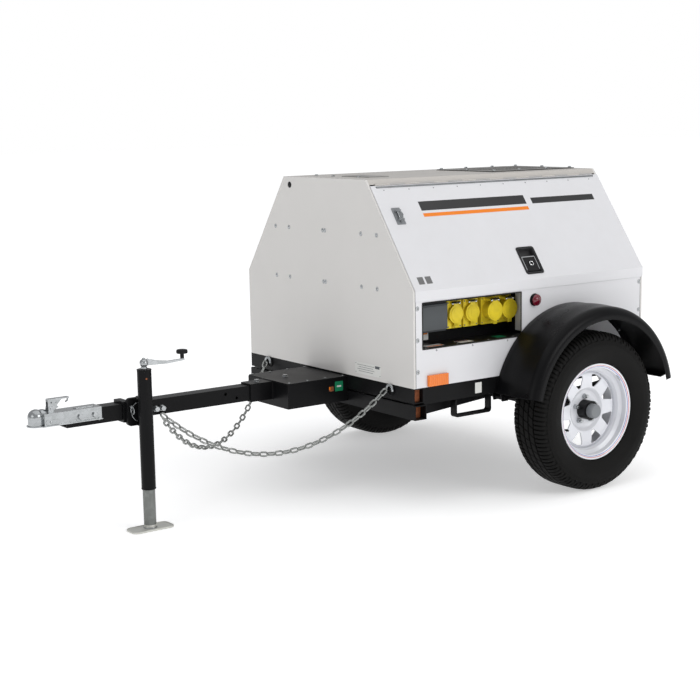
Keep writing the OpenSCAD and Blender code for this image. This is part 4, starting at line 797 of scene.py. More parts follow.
def build_tyre(side, word):
    sizes = bpy.context.scene.generator_sizes
    body = "wheel_" + word
    groove = sizes.tread_depth
    with Piece(f"tyre_body_{word}", "tyre", body, replaces=(f"tyre_{word}",)) as bm:
        add_lathe(bm, tyre_outline(groove), wheel_face(side), steps=144)

    def local(r, a, t):
        return Vector((r * math.cos(t), side * (TYRE_Y + a), r * math.sin(t)))

    def repeat(bm, part, name, count):
        values = {"Count": count, "Centre": (AXLE_X, 0, HUB_Z), "Material": MATERIAL["tyre"]}
        finish_piece(grown_by(TREES["turns"], piece_from(bm, part, "tyre"), name, values), "tyre", body)

    step = math.tau / sizes.tread_pitches
    bm = bmesh.new()
    for a0, a1, phase, skew, gap in ((-0.0115, 0.0115, 0.0, 0.25, 0.0028), (0.0175, 0.041, 0.4, 0.4, 0.0035),
                                     (-0.0175, -0.041, 0.9, 0.4, 0.0035)):
        slit = gap / TYRE_R / 2
        add_block(bm, local, a0, a1, phase * step + slit, (phase + 1) * step - slit, skew * step, groove + 0.002)
    for sign in (-1, 1):
        for k, edge in enumerate((0.094, 0.09)):
            t = (0.15 + k * 0.5 + (0.25 if sign > 0 else 0)) * step
            add_block(bm, local, sign * 0.0475, sign * edge, t, t + step * 0.5 - 0.0052 / TYRE_R, 0.12 * step,
                      groove + 0.002)
    repeat(bm, "tread_pitch", f"tyre_tread_{word}", sizes.tread_pitches)

    bm = bmesh.new()
    add_grid(bm, [[local(TYRE_R - d, a + w, t) for w, t in ((-0.001, -0.006), (0.0006, -0.003), (0.0006, 0.003),
        (-0.001, 0.006))]
                  for d, a in ((0.0415, 0.0975), (0.0475, 0.0997), (0.053, 0.1008))], close_cols=True, caps=True)
    repeat(bm, "wall_rib", f"tyre_wall_ribs_{word}", sizes.wall_ribs)

    # Valve cap, and balance weight clipped to the flange
    a = math.radians(200)
    with Piece(f"valve_cap_{word}", "moulded", body) as bm:
        add_lathe(bm, [(0.0, 0.062), (0.0052, 0.062), (0.0052, 0.066), (0.0046, 0.0675), (0.0046, 0.0735),
            (0.0, 0.0745)],
                  moved(wheel_face(side), (RIM_R - 0.032) * math.cos(a), -side * (RIM_R - 0.032) * math.sin(a)),
                      steps=16)
    with Piece(f"balance_weight_{word}", "zinc", body) as bm:
        add_lathe(bm, [(RIM_R - d, a) for d, a in ((0.02, 0.0665), (0.0165, 0.0665), (0.0165, 0.0712),
            (0.02, 0.0702))],
                  wheel_face(side), steps=8, a0=math.radians(38), a1=math.radians(48))


def build_wheels():
    for side, word in SIDES:
        build_tyre(side, word)


# ---------- fenders ----------
def fender_profile(r, w):
    """Outer line of the fender as (radius, out): side flange, crowned top, shoulder, lip."""
    line = [(r - 0.024, 0.0), (r - 0.004, 0.0), (r - 0.0012, 0.0012), (r, 0.004)]
    line += [(r + 0.0034 * math.sin(math.pi * k / 8) ** 2, 0.03 + (w - 0.08) * k / 8) for k in range(9)]
    bend = 0.045
    line += [(r - bend + bend * math.cos(math.radians(k * 9)), w - bend + bend * math.sin(math.radians(k * 9)))
             for k in range(9)]
    return line + [(r - 0.042, w - 0.0026), (r - 0.05, w - 0.0032), (r - 0.0535, w - 0.0032), (r - 0.0545, w - 0.005)]


def build_fenders():
    hi = high("fenders")
    y0, x0, z0 = SIDE_Y + 0.001, AXLE_X + 0.022, HUB_Z + 0.016
    r = hi[2] - z0
    w = hi[1] - y0 + 0.0022
    outer = fender_profile(r, w)
    thick = bpy.context.scene.generator_sizes.fender_wall
    inner = []
    for i, (a, b) in enumerate(outer):
        pa, pb = outer[max(i - 1, 0)], outer[min(i + 1, len(outer) - 1)]
        d = math.hypot(pb[0] - pa[0], pb[1] - pa[1])
        inner.append((a - (pb[1] - pa[1]) / d * thick, b + (pb[0] - pa[0]) / d * thick))
    with Piece("fender_shells", "fender", replaces=("fenders",)) as bm:
        for side, _ in SIDES:
            place = lambda u, v, q, side=side: Vector((x0 + u, side * (y0 + q), z0 + v))
            add_lathe(bm, outer + inner[::-1], place, steps=72, a0=math.radians(12), a1=math.radians(168))
            for end in (12, 168):
                add_lathe(bm, [(r - 0.03, 0.001), (r - 0.002, 0.001), (r - 0.002, w - 0.06), (r - 0.03, w - 0.06)],
                          place, steps=2, a0=math.radians(end - 0.4), a1=math.radians(end + 0.4))
    places = []
    for side, _ in SIDES:
        for a in map(math.radians, (15, 42, 70, 98, 126, 153, 165)):
            places.append(on_side(x0 + (r - 0.014) * math.cos(a), y0 + 0.004, z0 + (r - 0.014) * math.sin(a), side))
    set_on_points("fender_bolts", bolt_head(0.0055), places, "zinc", spin=ANY_TURN)


# ---------- small hardware ----------
def bolt_head(size, flange=1.35):
    """A hexagon head with a flange and a domed top, standing on the local XY plane."""
    bm = bmesh.new()
    add_grid(bm, [[Vector((u, v, z)) for u, v in circle(flange * size, 18)] for z in (-0.0002, size * 0.2)],
             close_cols=True, caps=True)
    add_grid(bm, [[Vector((u, v, z)) for u, v in circle(scale * size, 6)]
                  for scale, z in ((1.0, size * 0.2), (1.0, size * 0.72), (0.84, size * 0.84))],
             close_cols=True, caps=True)
    return piece_from(bm, "bolt_head", "zinc")


def screw_head(r, slot=True):
    """A pan-head screw, with or without a cross recess."""
    bm = bmesh.new()
    profile = [(r, 0), (r, r * 0.25), (r * 0.86, r * 0.48), (r * 0.5, r * 0.6)]
    rows = [[Vector((u, v, z)) for u, v in circle(a, 16)] for a, z in profile]
    star = [Vector((r * (0.42 if k % 4 == 0 else 0.2) * u, r * (0.42 if k % 4 == 0 else 0.2) * v, r * 0.6))
            for k, (u, v) in enumerate(circle(1, 16))]
    rows += [star, [Vector((p.x * 0.8, p.y * 0.8, r * (0.22 if slot else 0.6))) for p in star]]
    add_grid(bm, rows, close_cols=True, caps=True)
    return piece_from(bm, "screw_head", "zinc")


def hinge_ball(r, steps=14):
    bm = bmesh.new()
    bmesh.ops.create_uvsphere(bm, u_segments=steps, v_segments=steps // 2 + 1, radius=r)
    return piece_from(bm, "ball", "chrome")


# ---------- outlet recess ----------
def build_recess():
    lo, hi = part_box("outlet_tray")
    x0, x1 = CANOPY_X0 + 0.047, CANOPY_X0 + 0.585
    z0, z1 = SKID_Z + 0.157, SKID_Z + 0.346
    back = -hi[1] + SHEET
    plate = -hi[1] + 0.036
    socket_z0, socket_z1 = z0 + 0.05, z0 + 0.166
    cap_z = socket_z0 + 0.06

    # Rubber edging round the opening
    y = -SIDE_Y - 0.0004
    corners = [(x0, z0), (x1, z0), (x1, z1), (x0, z1)]
    bead("recess_seal", [([Vector((x, y, z)) for x, z in corners], True)], 0.0026, "rubber", pitch=0.01)

    # Blank films: white and orange at the left, white and red on the floor, green at the right
    wall = on_side(x0 + 0.11, back, z0 + 0.027)
    films = [
        ("recess_film_1", 0.075, 0.036, wall, "label"),
        ("recess_film_2", 0.067, 0.01, on_side(x0 + 0.11, back + 0.0003, z0 + 0.037), "orange"),
        ("recess_film_3", 0.09, 0.04, on_top(x0 + 0.1, -SIDE_Y + 0.055, z0), "label"),
        ("recess_film_4", 0.082, 0.012, on_top(x0 + 0.1, -SIDE_Y + 0.044, z0 + 0.0003), "orange"),
        ("recess_film_5", 0.075, 0.045, on_top(x0 + 0.265, -SIDE_Y + 0.055, z0), "label"),
        ("recess_film_6", 0.07, 0.014, on_top(x0 + 0.265, -SIDE_Y + 0.068, z0 + 0.0003), "red"),
        ("recess_film_7", 0.05, 0.045, on_top(x0 + 0.46, -SIDE_Y + 0.055, z0), "green"),
    ]
    for name, w, h, place, key in films:
        slab(name, rounded_outline(w, h, 0.003), 0.0004, place, key)
    slab("recess_jamb", rounded_outline(0.05, z1 - z0 - 0.02, 0.002), 0.0015,
         lambda u, v, w: Vector((hi[0] - SHEET - w, (lo[1] + hi[1]) / 2 + u, (z0 + z1) / 2 + v)), "label",
             edge=0.0003)

    # Screws at the corners of each socket plate, and the sprung hinge above each cover
    places, balls = [], []
    for i in range(1, 5):
        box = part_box(f"socket_cover_{i}")
        x = (box[0][0] + box[1][0]) / 2
        half = (0.080, 0.080, 0.088, 0.082)[i - 1] / 2 - 0.007
        front = -box[1][1] - 0.0006
        for u in (-1, 1):
            places += [on_side(x + u * half, plate, z) for z in (socket_z0 + 0.007, socket_z1 - 0.007)]
            balls.append(on_side(x + u * 0.019, front + 0.0075, cap_z + 0.046))
        coil = []
        for k in range(97):
            t = k / 96
            a = math.tau * 8 * t
            coil.append(Vector((x - 0.0115 + 0.023 * t, -(front + 0.005) + 0.0058 * math.cos(a),
                cap_z + 0.046 + 0.0058 * math.sin(a))))
        bead(f"hinge_spring_{i}", [(coil, False)], 0.0009, "steel", pitch=0.0012)
        # A raised frame on each cover, and its finger tab's grip lines
        out = -box[0][1]
        with Piece(f"cover_relief_{i}", "socket", f"cover_{i}") as bm:
            for k in range(3):
                add_slab(bm, rounded_outline(0.017, 0.0016, 0.0007, 2), 0.001,
                    on_side(x, out - 0.003, box[0][2] + 0.004 + k * 0.0034), 0.0003, base=-0.001)
            ring = [(0.0265, -0.0006), (0.0285, -0.0006), (0.0285, 0.0008), (0.0265, 0.0008)]
            add_lathe(bm, ring, on_side(x, out, cap_z), steps=40)
            add_slab(bm, rounded_outline(0.021, 0.034, 0.003), 0.0012, on_side(x, out, cap_z + 0.004), 0.0004,
                base=-0.0005)
    set_on_points("plate_screws", screw_head(0.0034), places, "steel", spin=ANY_TURN)
    set_on_points("hinge_balls", hinge_ball(0.0062), balls, "chrome")
    screws = [on_top(x0 + u, -SIDE_Y + 0.02, z0) for u in (0.03, 0.2, 0.37, 0.51)] + [on_side(x0 + u, back,
        z1 - 0.012) for u in (0.02, 0.26, 0.5)]
    set_on_points("recess_screws", screw_head(0.004), screws, "steel", spin=ANY_TURN)

    # The grey cover of the double breaker: two ribbed windows in one moulding
    lo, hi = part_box("breaker_flap")
    cx, w, h = (lo[0] + hi[0]) / 2, hi[0] - lo[0], 0.1
    face = on_side(cx, -hi[1] + 0.009, (socket_z0 + 0.004 + socket_z1 - 0.012) / 2)
    with Piece("flap_relief", "flap", "flap") as bm:
        for u in (-1, 1):
            add_slab(bm, rounded_outline(w / 2 - 0.009, h - 0.014, 0.004), 0.0028, moved(face, u * w / 4), 0.0012,
                base=-0.002)
            for k in range(5):
                add_slab(bm, rounded_outline(0.0042, h - 0.034, 0.0015, 2), 0.0018,
                         moved(face, u * w / 4 + (k - 2) * 0.0094, -0.004, 0.0028), 0.0006, base=-0.001)
    with Piece("flap_grooves", "rubber", "flap") as bm:
        add_slab(bm, rounded_outline(w - 0.004, 0.0035, 0.001, 2), 0.0006, moved(face, dv=h / 2 - 0.003), 0.0002,
            base=-0.0003)
        add_slab(bm, rounded_outline(0.0035, h - 0.012, 0.001, 2), 0.0006, face, 0.0002, base=-0.0003)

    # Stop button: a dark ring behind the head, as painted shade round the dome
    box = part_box("stop_button")
    x, z = (box[0][0] + box[1][0]) / 2, (box[0][2] + box[1][2]) / 2
    with Piece("stop_button_collar", "moulded") as bm:
        add_lathe(bm, [(0.0122, 0.0002), (0.027, 0.0002), (0.027, 0.0022), (0.0245, 0.0036), (0.0122, 0.0036)],
            on_side(x, SIDE_Y, z), steps=40)


# ---------- doors ----------
def build_doors():
    for side, word in SIDES:
        body = f"{word}_door"

        def film(name, a, b, s_a, s_b, key, lean=0.0):
            w, h = b - a, s_b - s_a
            outline = [(-w / 2, -h / 2), (w / 2, -h / 2), (w / 2 + lean, h / 2), (-w / 2 + lean, h / 2)]
            slab(f"{name}_{word}", outline, 0.0003, on_door((a + b) / 2, (s_a + s_b) / 2, side), key, body)

        # Plain bands of film across the upper part of the door
        start, end = CANOPY_X0 + 0.219, CANOPY_X0 + 1.233
        film("band_upper", start, end - 0.42, 0.122, 0.167, "dark")
        film("band_lower", start, end - 0.42, 0.18, 0.197, "orange")
        film("band_end", end - 0.385, end, 0.138, 0.168, "dark")
        for k in range(2):
            film(f"foot_mark_{k}", CANOPY_X0 + 0.045 + k * 0.04, CANOPY_X0 + 0.075 + k * 0.04, SLOPE - 0.062,
                SLOPE - 0.028, "grey")

        # The strip of the long hinge: a half-round cover with a line of joints
        strip = [on_door(CANOPY_X0 + 0.036 + k * 0.0322, 0.043, side)(0, 0, 0.0004) for k in range(40)]
        bead(f"hinge_strip_{word}", [(strip, False)], 0.0036, "steel", body, ripple=0.22, pitch=0.0161)

        # Latch: bright edges on the paddle, key cylinder, and a rim round the dish
        x, s = LATCH_X, LATCH_S
        latch_body = f"{word}_latch"
        with Piece(f"latch_trim_{word}", "chrome", latch_body) as bm:
            for u in (-1, 1):
                add_slab(bm, rounded_outline(0.0035, 0.062, 0.0015, 2), 0.0012,
                    on_door(x + u * 0.0365, s + 0.013, side, DOOR_OUT - 0.002), 0.0004)
            add_slab(bm, rounded_outline(0.074, 0.004, 0.0015, 2), 0.0012,
                on_door(x, s - 0.019, side, DOOR_OUT - 0.002), 0.0004)
            add_lathe(bm, [(0.0082, 0.0), (0.0115, 0.0), (0.0115, 0.0042), (0.0098, 0.0052), (0.0082, 0.0046)],
                on_door(x, s + 0.016, side, DOOR_OUT), steps=32)
        with Piece(f"key_slot_{word}", "rubber", latch_body, slot="black_plastic") as bm:
            add_slab(bm, rounded_outline(0.0022, 0.0085, 0.0008, 2), 0.0006,
                on_door(x, s + 0.016, side, DOOR_OUT + 0.001), 0.0002)
        with Piece(f"latch_rim_{word}", "moulded", body) as bm:
            outline = rounded_outline(0.098, 0.13, 0.011, 5)
            hole = rounded_outline(0.0905, 0.1225, 0.0085, 5)
            place = on_door(x, s, side, DOOR_OUT + 0.003)
            rows = [[place(a, b, w) for a, b in line] for line,
                w in ((outline, 0.0), (outline, 0.0008), (hole, 0.0008), (hole, 0.0))]
            add_grid(bm, rows + [rows[0]], close_cols=True)

        # Seal behind the door's foot, and lining foam inside
        y = SIDE_Y - 0.004
        z = KNEE_Z - 0.009
        bead(f"door_seal_{word}", [([Vector((CANOPY_X0 + 0.02 + k * 0.05, side * y, z + 0.003)) for k in range(27)],
            False)],
             0.003, "rubber", pitch=0.02)
        with Piece(f"door_lining_{word}", "foam", body) as bm:
            inner = DOOR_OUT - SHEET
            xs = [CANOPY_X0 + 0.05, x - 0.056, x + 0.056, CANOPY_X1 - 0.04]
            for i in (0, 1, 2):
                a, b = xs[i], xs[i + 1]
                s_a, s_b = (0.075, SLOPE - 0.06) if i != 1 else (0.075, SLOPE - 0.165)
                outline = rounded_outline(b - a - (0.004 if i != 1 else 0), s_b - s_a, 0.006)
                add_slab(bm, outline, 0.016, lambda u, v, w, a=a, b=b, s_a=s_a, s_b=s_b: on_door((a + b) / 2,
                    (s_a + s_b) / 2, side, inner)(u, v, -w - 0.0003), 0.004)

    # Screws that hold the hinge leaves, and the keeper's loop
    for side, word in SIDES:
        places = [on_door(CANOPY_X0 + 0.07 + k * 0.132, 0.0585, side) for k in range(10)]
        set_on_points(f"hinge_rivets_{word}", screw_head(0.0026), places, "zinc", f"{word}_door", spin=ANY_TURN)
    for side, word in SIDES:
        place = on_door(CANOPY_X0 + 0.087, 0.186, side)
        loop = [place(0.011 * u, 0.02 * v, 0.006 + 0.012 * abs(u)) for u, v in circle(1, 28)]
        bead(f"keeper_loop_{word}", [(loop, True)], 0.0022, "zinc", f"{word}_door")


# ---------- front panel, skid and roof ----------
def build_panels():
    # Data plate with blank ruled rows, a small blank label, and the round plug
    x = CANOPY_X0
    with Piece("data_plate", "label") as bm:
        add_slab(bm, rounded_outline(0.18, 0.05, 0.003), 0.0009, on_front(-0.305, SKID_Z + 0.041), 0.0003)
    with Piece("data_plate_rules", "flap") as bm:
        for k in range(4):
            add_slab(bm, rounded_outline(0.12 - 0.02 * (k % 2), 0.0016, 0.0005, 2), 0.0002,
                on_front(-0.29, SKID_Z + 0.055 - k * 0.009, x - 0.0009), 0.0001)
        add_slab(bm, rounded_outline(0.03, 0.012, 0.001, 2), 0.0002, on_front(-0.37, SKID_Z + 0.056, x - 0.0009),
            0.0001)
    set_on_points("data_plate_rivets", screw_head(0.0022, False),
        [on_front(-0.305 + u, SKID_Z + 0.041 + v, x - 0.0009) for u in (-0.084, 0.084) for v in (-0.019, 0.019)],
                  "steel")
    slab("side_rail_label", rounded_outline(0.036, 0.045, 0.002), 0.0004,
        on_side(AXLE_X - 0.497, SIDE_Y, SKID_Z - 0.036), "label")
    with Piece("wiring_plug", "moulded") as bm:
        add_lathe(bm, [(0, 0.0), (0.0135, 0.0), (0.0135, 0.0012), (0.0115, 0.0024), (0, 0.0026)],
            on_front(0.255, TOP_Z - 0.036), steps=32)
    # Washers under the domed screws of the front panel, and of the sides near both ends
    places = [on_front(s * y, z) for z in (KNEE_Z - 0.008, KNEE_Z + 0.214) for y in (0.008, 0.268, 0.376)
        for s in (-1, 1)]
    places += [on_side(CANOPY_X0 + 0.021, SIDE_Y, SKID_Z + z, s) for z in (0.066, 0.196, 0.326) for s in (-1, 1)]
    places += [on_side(CANOPY_X1 - 0.02, SIDE_Y, SKID_Z + z, s) for z in (0.076, 0.205, 0.332) for s in (-1, 1)]
    bm = bmesh.new()
    add_lathe(bm, [(0.004, -0.0003), (0.0098, -0.0003), (0.0098, 0.0005), (0.009, 0.0011), (0.004, 0.0011)],
        on_top(0, 0, 0), steps=20)
    set_on_points("panel_washers", piece_from(bm, "washer", "zinc"), places, "zinc")
    # Folded hems down the corners of the end panels, from the skid up
    for side, word in SIDES:
        paths = [([Vector((xx, side * (SIDE_Y - 0.0004), SKID_Z + 0.002)),
            Vector((xx, side * (SIDE_Y - 0.0004), KNEE_Z - 0.01))], False)
                 for xx in (CANOPY_X0 + 0.0112, CANOPY_X1 - 0.0112)]
        bead(f"panel_joint_{word}", paths, 0.0012, "rubber", pitch=0.05)
    # Dark plate near the front of the roof and the seal round the hatch
    slab("roof_patch", rounded_outline(0.11, 0.2, 0.004), 0.0025, on_top(CANOPY_X0 + 0.19, -0.05, TOP_Z), "hatch",
        edge=0.0008)
    lo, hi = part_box("roof_hatch")
    corners = [(lo[0], lo[1]), (hi[0], lo[1]), (hi[0], hi[1]), (lo[0], hi[1])]
    bead("hatch_seal", [([Vector((a, b, TOP_Z + 0.0012)) for a, b in corners], True)], 0.0022, "rubber", pitch=0.02)


# ---------- tongue, coupler, jack ----------
def square_path(x, y, z0, z1):
    return [Vector((x, -y, z0)), Vector((x, y, z0)), Vector((x, y, z1)), Vector((x, -y, z1))]


def build_tongue():
    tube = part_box("tongue_tube")
    tz = (tube[0][2] + tube[1][2]) / 2
    box_x0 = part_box("tongue_box_lid")[0][0] - 0.0005
    half = (tube[1][1] - tube[0][1]) / 2
    sleeve = half + 0.0064
    top = low("tongue_box_lid")[2]
    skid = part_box("lower_frame")
    # Weld beads: sleeve to box, box to front rail, lower tubes to each other, loops to rails
    box_half = 0.154
    welds = [(square_path(box_x0, sleeve, tz - sleeve, tz + sleeve), True),
             (square_path(CANOPY_X0 - 0.0005, box_half, top - 0.1, top - 0.004), False)]
    for side in (-1, 1):
        for start, offsets, inner, outer in ((CANOPY_X0, (0.002, 0.058), 0.05, 0.001),
                                             (AXLE_X, (-0.622, -0.612, -0.434, -0.424), 0.031, 0.003)):
            for x in offsets:
                ends = [Vector((start + x, side * (SIDE_Y - inset), skid[1][2])) for inset in (inner, outer)]
                welds.append((ends, False))
        y = side * (SIDE_Y - 0.157)
        welds.append(([Vector((CANOPY_X0 - 0.0015, y - 0.0045 + u, SKID_Z - 0.023 + v)) for u,
            v in circle(0.021, 24)], True))
    bead("frame_welds", welds, 0.0028, "frame", ripple=0.35, pitch=0.003)

    # Bare rust inside the open ends of the front cross tube
    with Piece("tube_end_rust", "rust", slot="black_frame") as bm:
        for side in (-1, 1):
            c = skid[0][0] + 0.03
            z = (skid[1][2] - 0.03)
            add_slab(bm, rounded_outline(0.052, 0.052, 0.003), 0.0006,
                lambda u, v, w, c=c, z=z, side=side: Vector((c + u, side * (SIDE_Y - 0.03 + w), z + v)), 0.0002)
            add_slab(bm, rounded_outline(0.041, 0.053, 0.003), 0.0006,
                     lambda u, v, w, side=side: Vector((CANOPY_X0 + 0.025 + u, side * (SIDE_Y - 0.022 + w),
                         SKID_Z - 0.031 + v)), 0.0002)

    # Plain green patch and an orange tag on the side of the box
    slab("box_patch", rounded_outline(0.042, 0.042, 0.003), 0.0004, on_side(box_x0 + 0.262, box_half, top - 0.036),
        "green")
    slab("box_patch_cross", rounded_outline(0.022, 0.007, 0.001, 2), 0.0003,
        on_side(box_x0 + 0.262, box_half + 0.0004, top - 0.036), "label")
    slab("box_tag", rounded_outline(0.024, 0.02, 0.004), 0.0006, on_side(box_x0 + 0.222, box_half, top - 0.044),
        "rust")
    slab("box_tag_end", rounded_outline(0.006, 0.012, 0.002), 0.0005,
        on_side(box_x0 + 0.213, box_half + 0.0005, top - 0.04), "orange", slot="amber")

    # Coupler: ribs along the channel, rivets, adjusting hook
    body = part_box("coupler_body")
    nose, rear = body[0][0], body[1][0]
    hw = half + 0.0043
    cz1 = tz + half + 0.0043
    with Piece("coupler_ribs", "zinc") as bm:
        for side in (-1, 1):
            add_slab(bm, rounded_outline(0.1, 0.006, 0.003), 0.0022, on_side(rear - 0.062, hw, tz - 0.003, side),
                0.001)
            add_slab(bm, rounded_outline(0.058, 0.02, 0.008), 0.0016, on_side(nose + 0.09, hw, tz + 0.002, side),
                0.0008)
        add_slab(bm, rounded_outline(0.085, 0.016, 0.007), 0.002, on_top(rear - 0.06, 0, cz1), 0.001)
    places = [on_side(nose + 0.082, hw + 0.0016, tz + 0.002, s)
        for s in (-1, 1)] + [on_side(rear - 0.012, hw, tz - 0.012, s) for s in (-1, 1)]
    set_on_points("coupler_rivets", screw_head(0.0055, False), places, "zinc")
    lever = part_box("coupler_latch")
    hook = [Vector((lever[1][0] - back, 0, lever[1][2] - down))
            for back, down in ((0.008, 0.002), (0.002, 0.006), (0.0045, 0.016), (0.013, 0.02))]
    bead("lever_hook", [(hook, False)], 0.0032, "zinc", "coupler_lever", pitch=0.002)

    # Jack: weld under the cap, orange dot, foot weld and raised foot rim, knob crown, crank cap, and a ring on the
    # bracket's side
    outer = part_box("jack_outer_tube")
    jx, jy = middle("jack_knob", 0) - 0.172, middle("jack_inner_leg", 1)
    jr = outer[0][1] * -1 + jy
    leg_r = (high("jack_inner_leg")[0] - low("jack_inner_leg")[0]) / 2
    slab("jack_dot", circle(0.0035, 20), 0.0006,
         lambda u, v, w: Vector((jx + (jr + w - u * u * 0.5 / jr) * math.sin(-0.2) + u * math.cos(0.2),
             jy - (jr + w) * math.cos(0.2) - u * math.sin(0.2), outer[1][2] - 0.035 + v)),
         "rust", "jack")

    def hoop(r, z):
        return [Vector((jx + u, jy + v, z)) for u, v in circle(r, 36)], True

    bead("jack_cap_bead", [hoop(jr - 0.0004, outer[1][2] - 0.002), hoop(jr - 0.0002, outer[0][2] + 0.003)], 0.0018,
        "frame", "jack", pitch=0.005)
    bead("jack_foot_weld", [hoop(leg_r + 0.0006, 0.0072)], 0.0024, "zinc", "jack_leg", ripple=0.4, pitch=0.003)
    with Piece("jack_foot_rim", "tube", "jack_leg") as bm:
        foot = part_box("jack_foot")
        fx, fy = (foot[1][0] - foot[0][0]) / 2, (foot[1][1] - foot[0][1]) / 2
        line = rounded_outline(2 * fx - 0.003, 2 * fy - 0.003, 0.0245, 8)
        inner = rounded_outline(2 * fx - 0.013, 2 * fy - 0.013, 0.0195, 8)
        place = on_top(jx, jy, foot[1][2])
        add_grid(bm, [[place(a, b, w) for a, b in l] for l,
            w in ((line, -0.001), (line, 0.0016), (inner, 0.0016), (inner, -0.001))]
            + [[place(a, b, -0.001) for a, b in line]], close_cols=True)
    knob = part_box("jack_knob")
    with Piece("knob_crown", "moulded", "crank_knob") as bm:
        kx, ky, kz = (knob[0][0] + knob[1][0]) / 2, (knob[0][1] + knob[1][1]) / 2, knob[1][2]
        add_lathe(bm, [(0.0, -0.0005), (0.0195, -0.0005), (0.0185, 0.0012), (0.012, 0.0022), (0, 0.0024)],
            on_top(kx, ky, kz), steps=36)
        add_lathe(bm, [(0.0218, -0.0125), (0.0232, -0.0115), (0.0232, -0.0045), (0.0218, -0.0035)],
            on_top(kx, ky, kz), steps=36)
    with Piece("crank_cap", "zinc", "crank") as bm:
        add_lathe(bm, [(0.0, 0.0), (0.0068, 0.0), (0.0068, 0.0022), (0.0048, 0.004), (0, 0.0044)],
            on_top(jx, jy, outer[1][2] + 0.0405), steps=20)
    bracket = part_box("jack_bracket")
    with Piece("swivel_ring", "zinc") as bm:
        ring = [(0.0385, 0), (0.0418, 0), (0.0418, 0.0016), (0.0408, 0.0024), (0.0385, 0.0024)]
        add_lathe(bm, ring, on_side(jx, -bracket[0][1], tz), steps=48)


# ---------- inside the canopy ----------
def build_inside():
    lo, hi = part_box("cooling_pack")
    with Piece("radiator_fins", "steel") as bm:
        for k in range(44):
            y = -0.252 + k * 0.0117
            add_slab(bm, [(-0.0012, -0.225), (0.0012, -0.225), (0.0012, 0.225), (-0.0012, 0.225)], 0.0035,
                     lambda u, v, w, y=y: Vector((hi[0] - 0.008 + w, y + u, (lo[2] + 0.06 + lo[2] + 0.517) / 2 + v)),
                         0.0006)
    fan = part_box("cooling_fan")
    # Finger guard in front of the fan: a set of rings
    fz = (fan[0][2] + fan[1][2]) / 2
    xs = hi[0] - 0.099
    paths = []
    for r in (0.05, 0.08, 0.11, 0.14, 0.17, 0.198):
        paths.append(([Vector((xs, u, fz + v)) for u, v in circle(r, 48)], True))
    bead("fan_guard_rings", paths, 0.0016, "steel", pitch=0.01)
    ex0, ex1 = AXLE_X - 0.06, AXLE_X + 0.27
    base = SKID_Z
    # Head bolts, side cover bolts and the sump's rim bolts
    places = []
    for k in range(6):
        for side in (-1, 1):
            places.append(on_side(ex0 + 0.03 + k * 0.054, 0.11, base + 0.41, side))
            places.append(on_side(ex0 + 0.03 + k * 0.054, 0.11, base + 0.14, side))
            places.append(on_top(ex0 + 0.03 + k * 0.054, side * 0.06, base + 0.5))
    set_on_points("engine_bolts", bolt_head(0.006), places, "zinc", spin=ANY_TURN)
    with Piece("block_ribs", "engine") as bm:
        for side in (-1, 1):
            for k in range(7):
                add_slab(bm, rounded_outline(0.28, 0.006, 0.0028, 2), 0.005,
                    on_side((ex0 + ex1) / 2, 0.11, base + 0.2 + k * 0.026, side), 0.002)
    # Cooling slots' ribs around the alternator
    with Piece("alternator_ribs", "alternator") as bm:
        for k in range(9):
            xk = ex0 - 0.38 + k * 0.036
            add_lathe(bm, [(0.148, -0.004), (0.1545, -0.003), (0.1545, 0.003), (0.148, 0.004)],
                lambda u, v, w, xk=xk: Vector((xk + w, u, base + 0.19 + v)), steps=48)
    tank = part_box("fuel_tank")
    paths = [[Vector((tank[0][0] + x, y, base + z))
              for x, z in ((0.191, 0.006), (0.191, 0.301), (-0.001, 0.3045), (-0.001, 0.006))] for y in (-0.2, 0.3)]
    with Piece("tank_straps", "steel") as bm:
        for path in paths:
            for a, b in zip(path, path[1:]):
                add_bar(bm, a, b, 0.0022, 8)
    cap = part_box("fuel_cap")
    cx, cy = (cap[0][0] + cap[1][0]) / 2, (cap[0][1] + cap[1][1]) / 2
    with Piece("cap_grips", "moulded", "filler_cap") as bm:
        for k in range(12):
            a = math.tau * k / 12
            add_slab(bm, rounded_outline(0.011, 0.026, 0.002, 2), 0.0025,
                     lambda u, v, w, a=a: Vector((cx + (0.0425 + w) * math.cos(a) - u * math.sin(a),
                         cy + (0.0425 + w) * math.sin(a) + u * math.cos(a), (cap[0][2] + cap[1][2]) / 2 + v)), 0.001)


# ---------- stage ----------
def build_floor():
    """A white floor that glows more with the distance, so that it fades into the backdrop."""
    half, z = 60, -0.0012
    mesh = bpy.data.meshes.new("studio_floor")
    mesh.from_pydata([(-half, -half, z), (half, -half, z), (half, half, z), (-half, half, z)], [], [(0, 1, 2, 3)])
    made = Finish("studio_floor_white", (0.9, 0.9, 0.9), 0.95, specular=0.0)
    reach = made.add("ShaderNodeVectorMath", {0: made.place}, operation="LENGTH").outputs["Value"]
    far = made.math("MULTIPLY_ADD", reach, 0.24, 0.1, clamp=True)
    glow = made.add("ShaderNodeMix", {"Factor": far, "A": (0.5, 0.5, 0.5, 1), "B": (1, 1, 1, 1)}, data_type="RGBA")
    made.feed("Emission Color", glow.outputs["Result"])
    made.bsdf.inputs["Emission Strength"].default_value = 0.62
    mesh.materials.append(made.mat)
    linked("studio_floor", mesh)


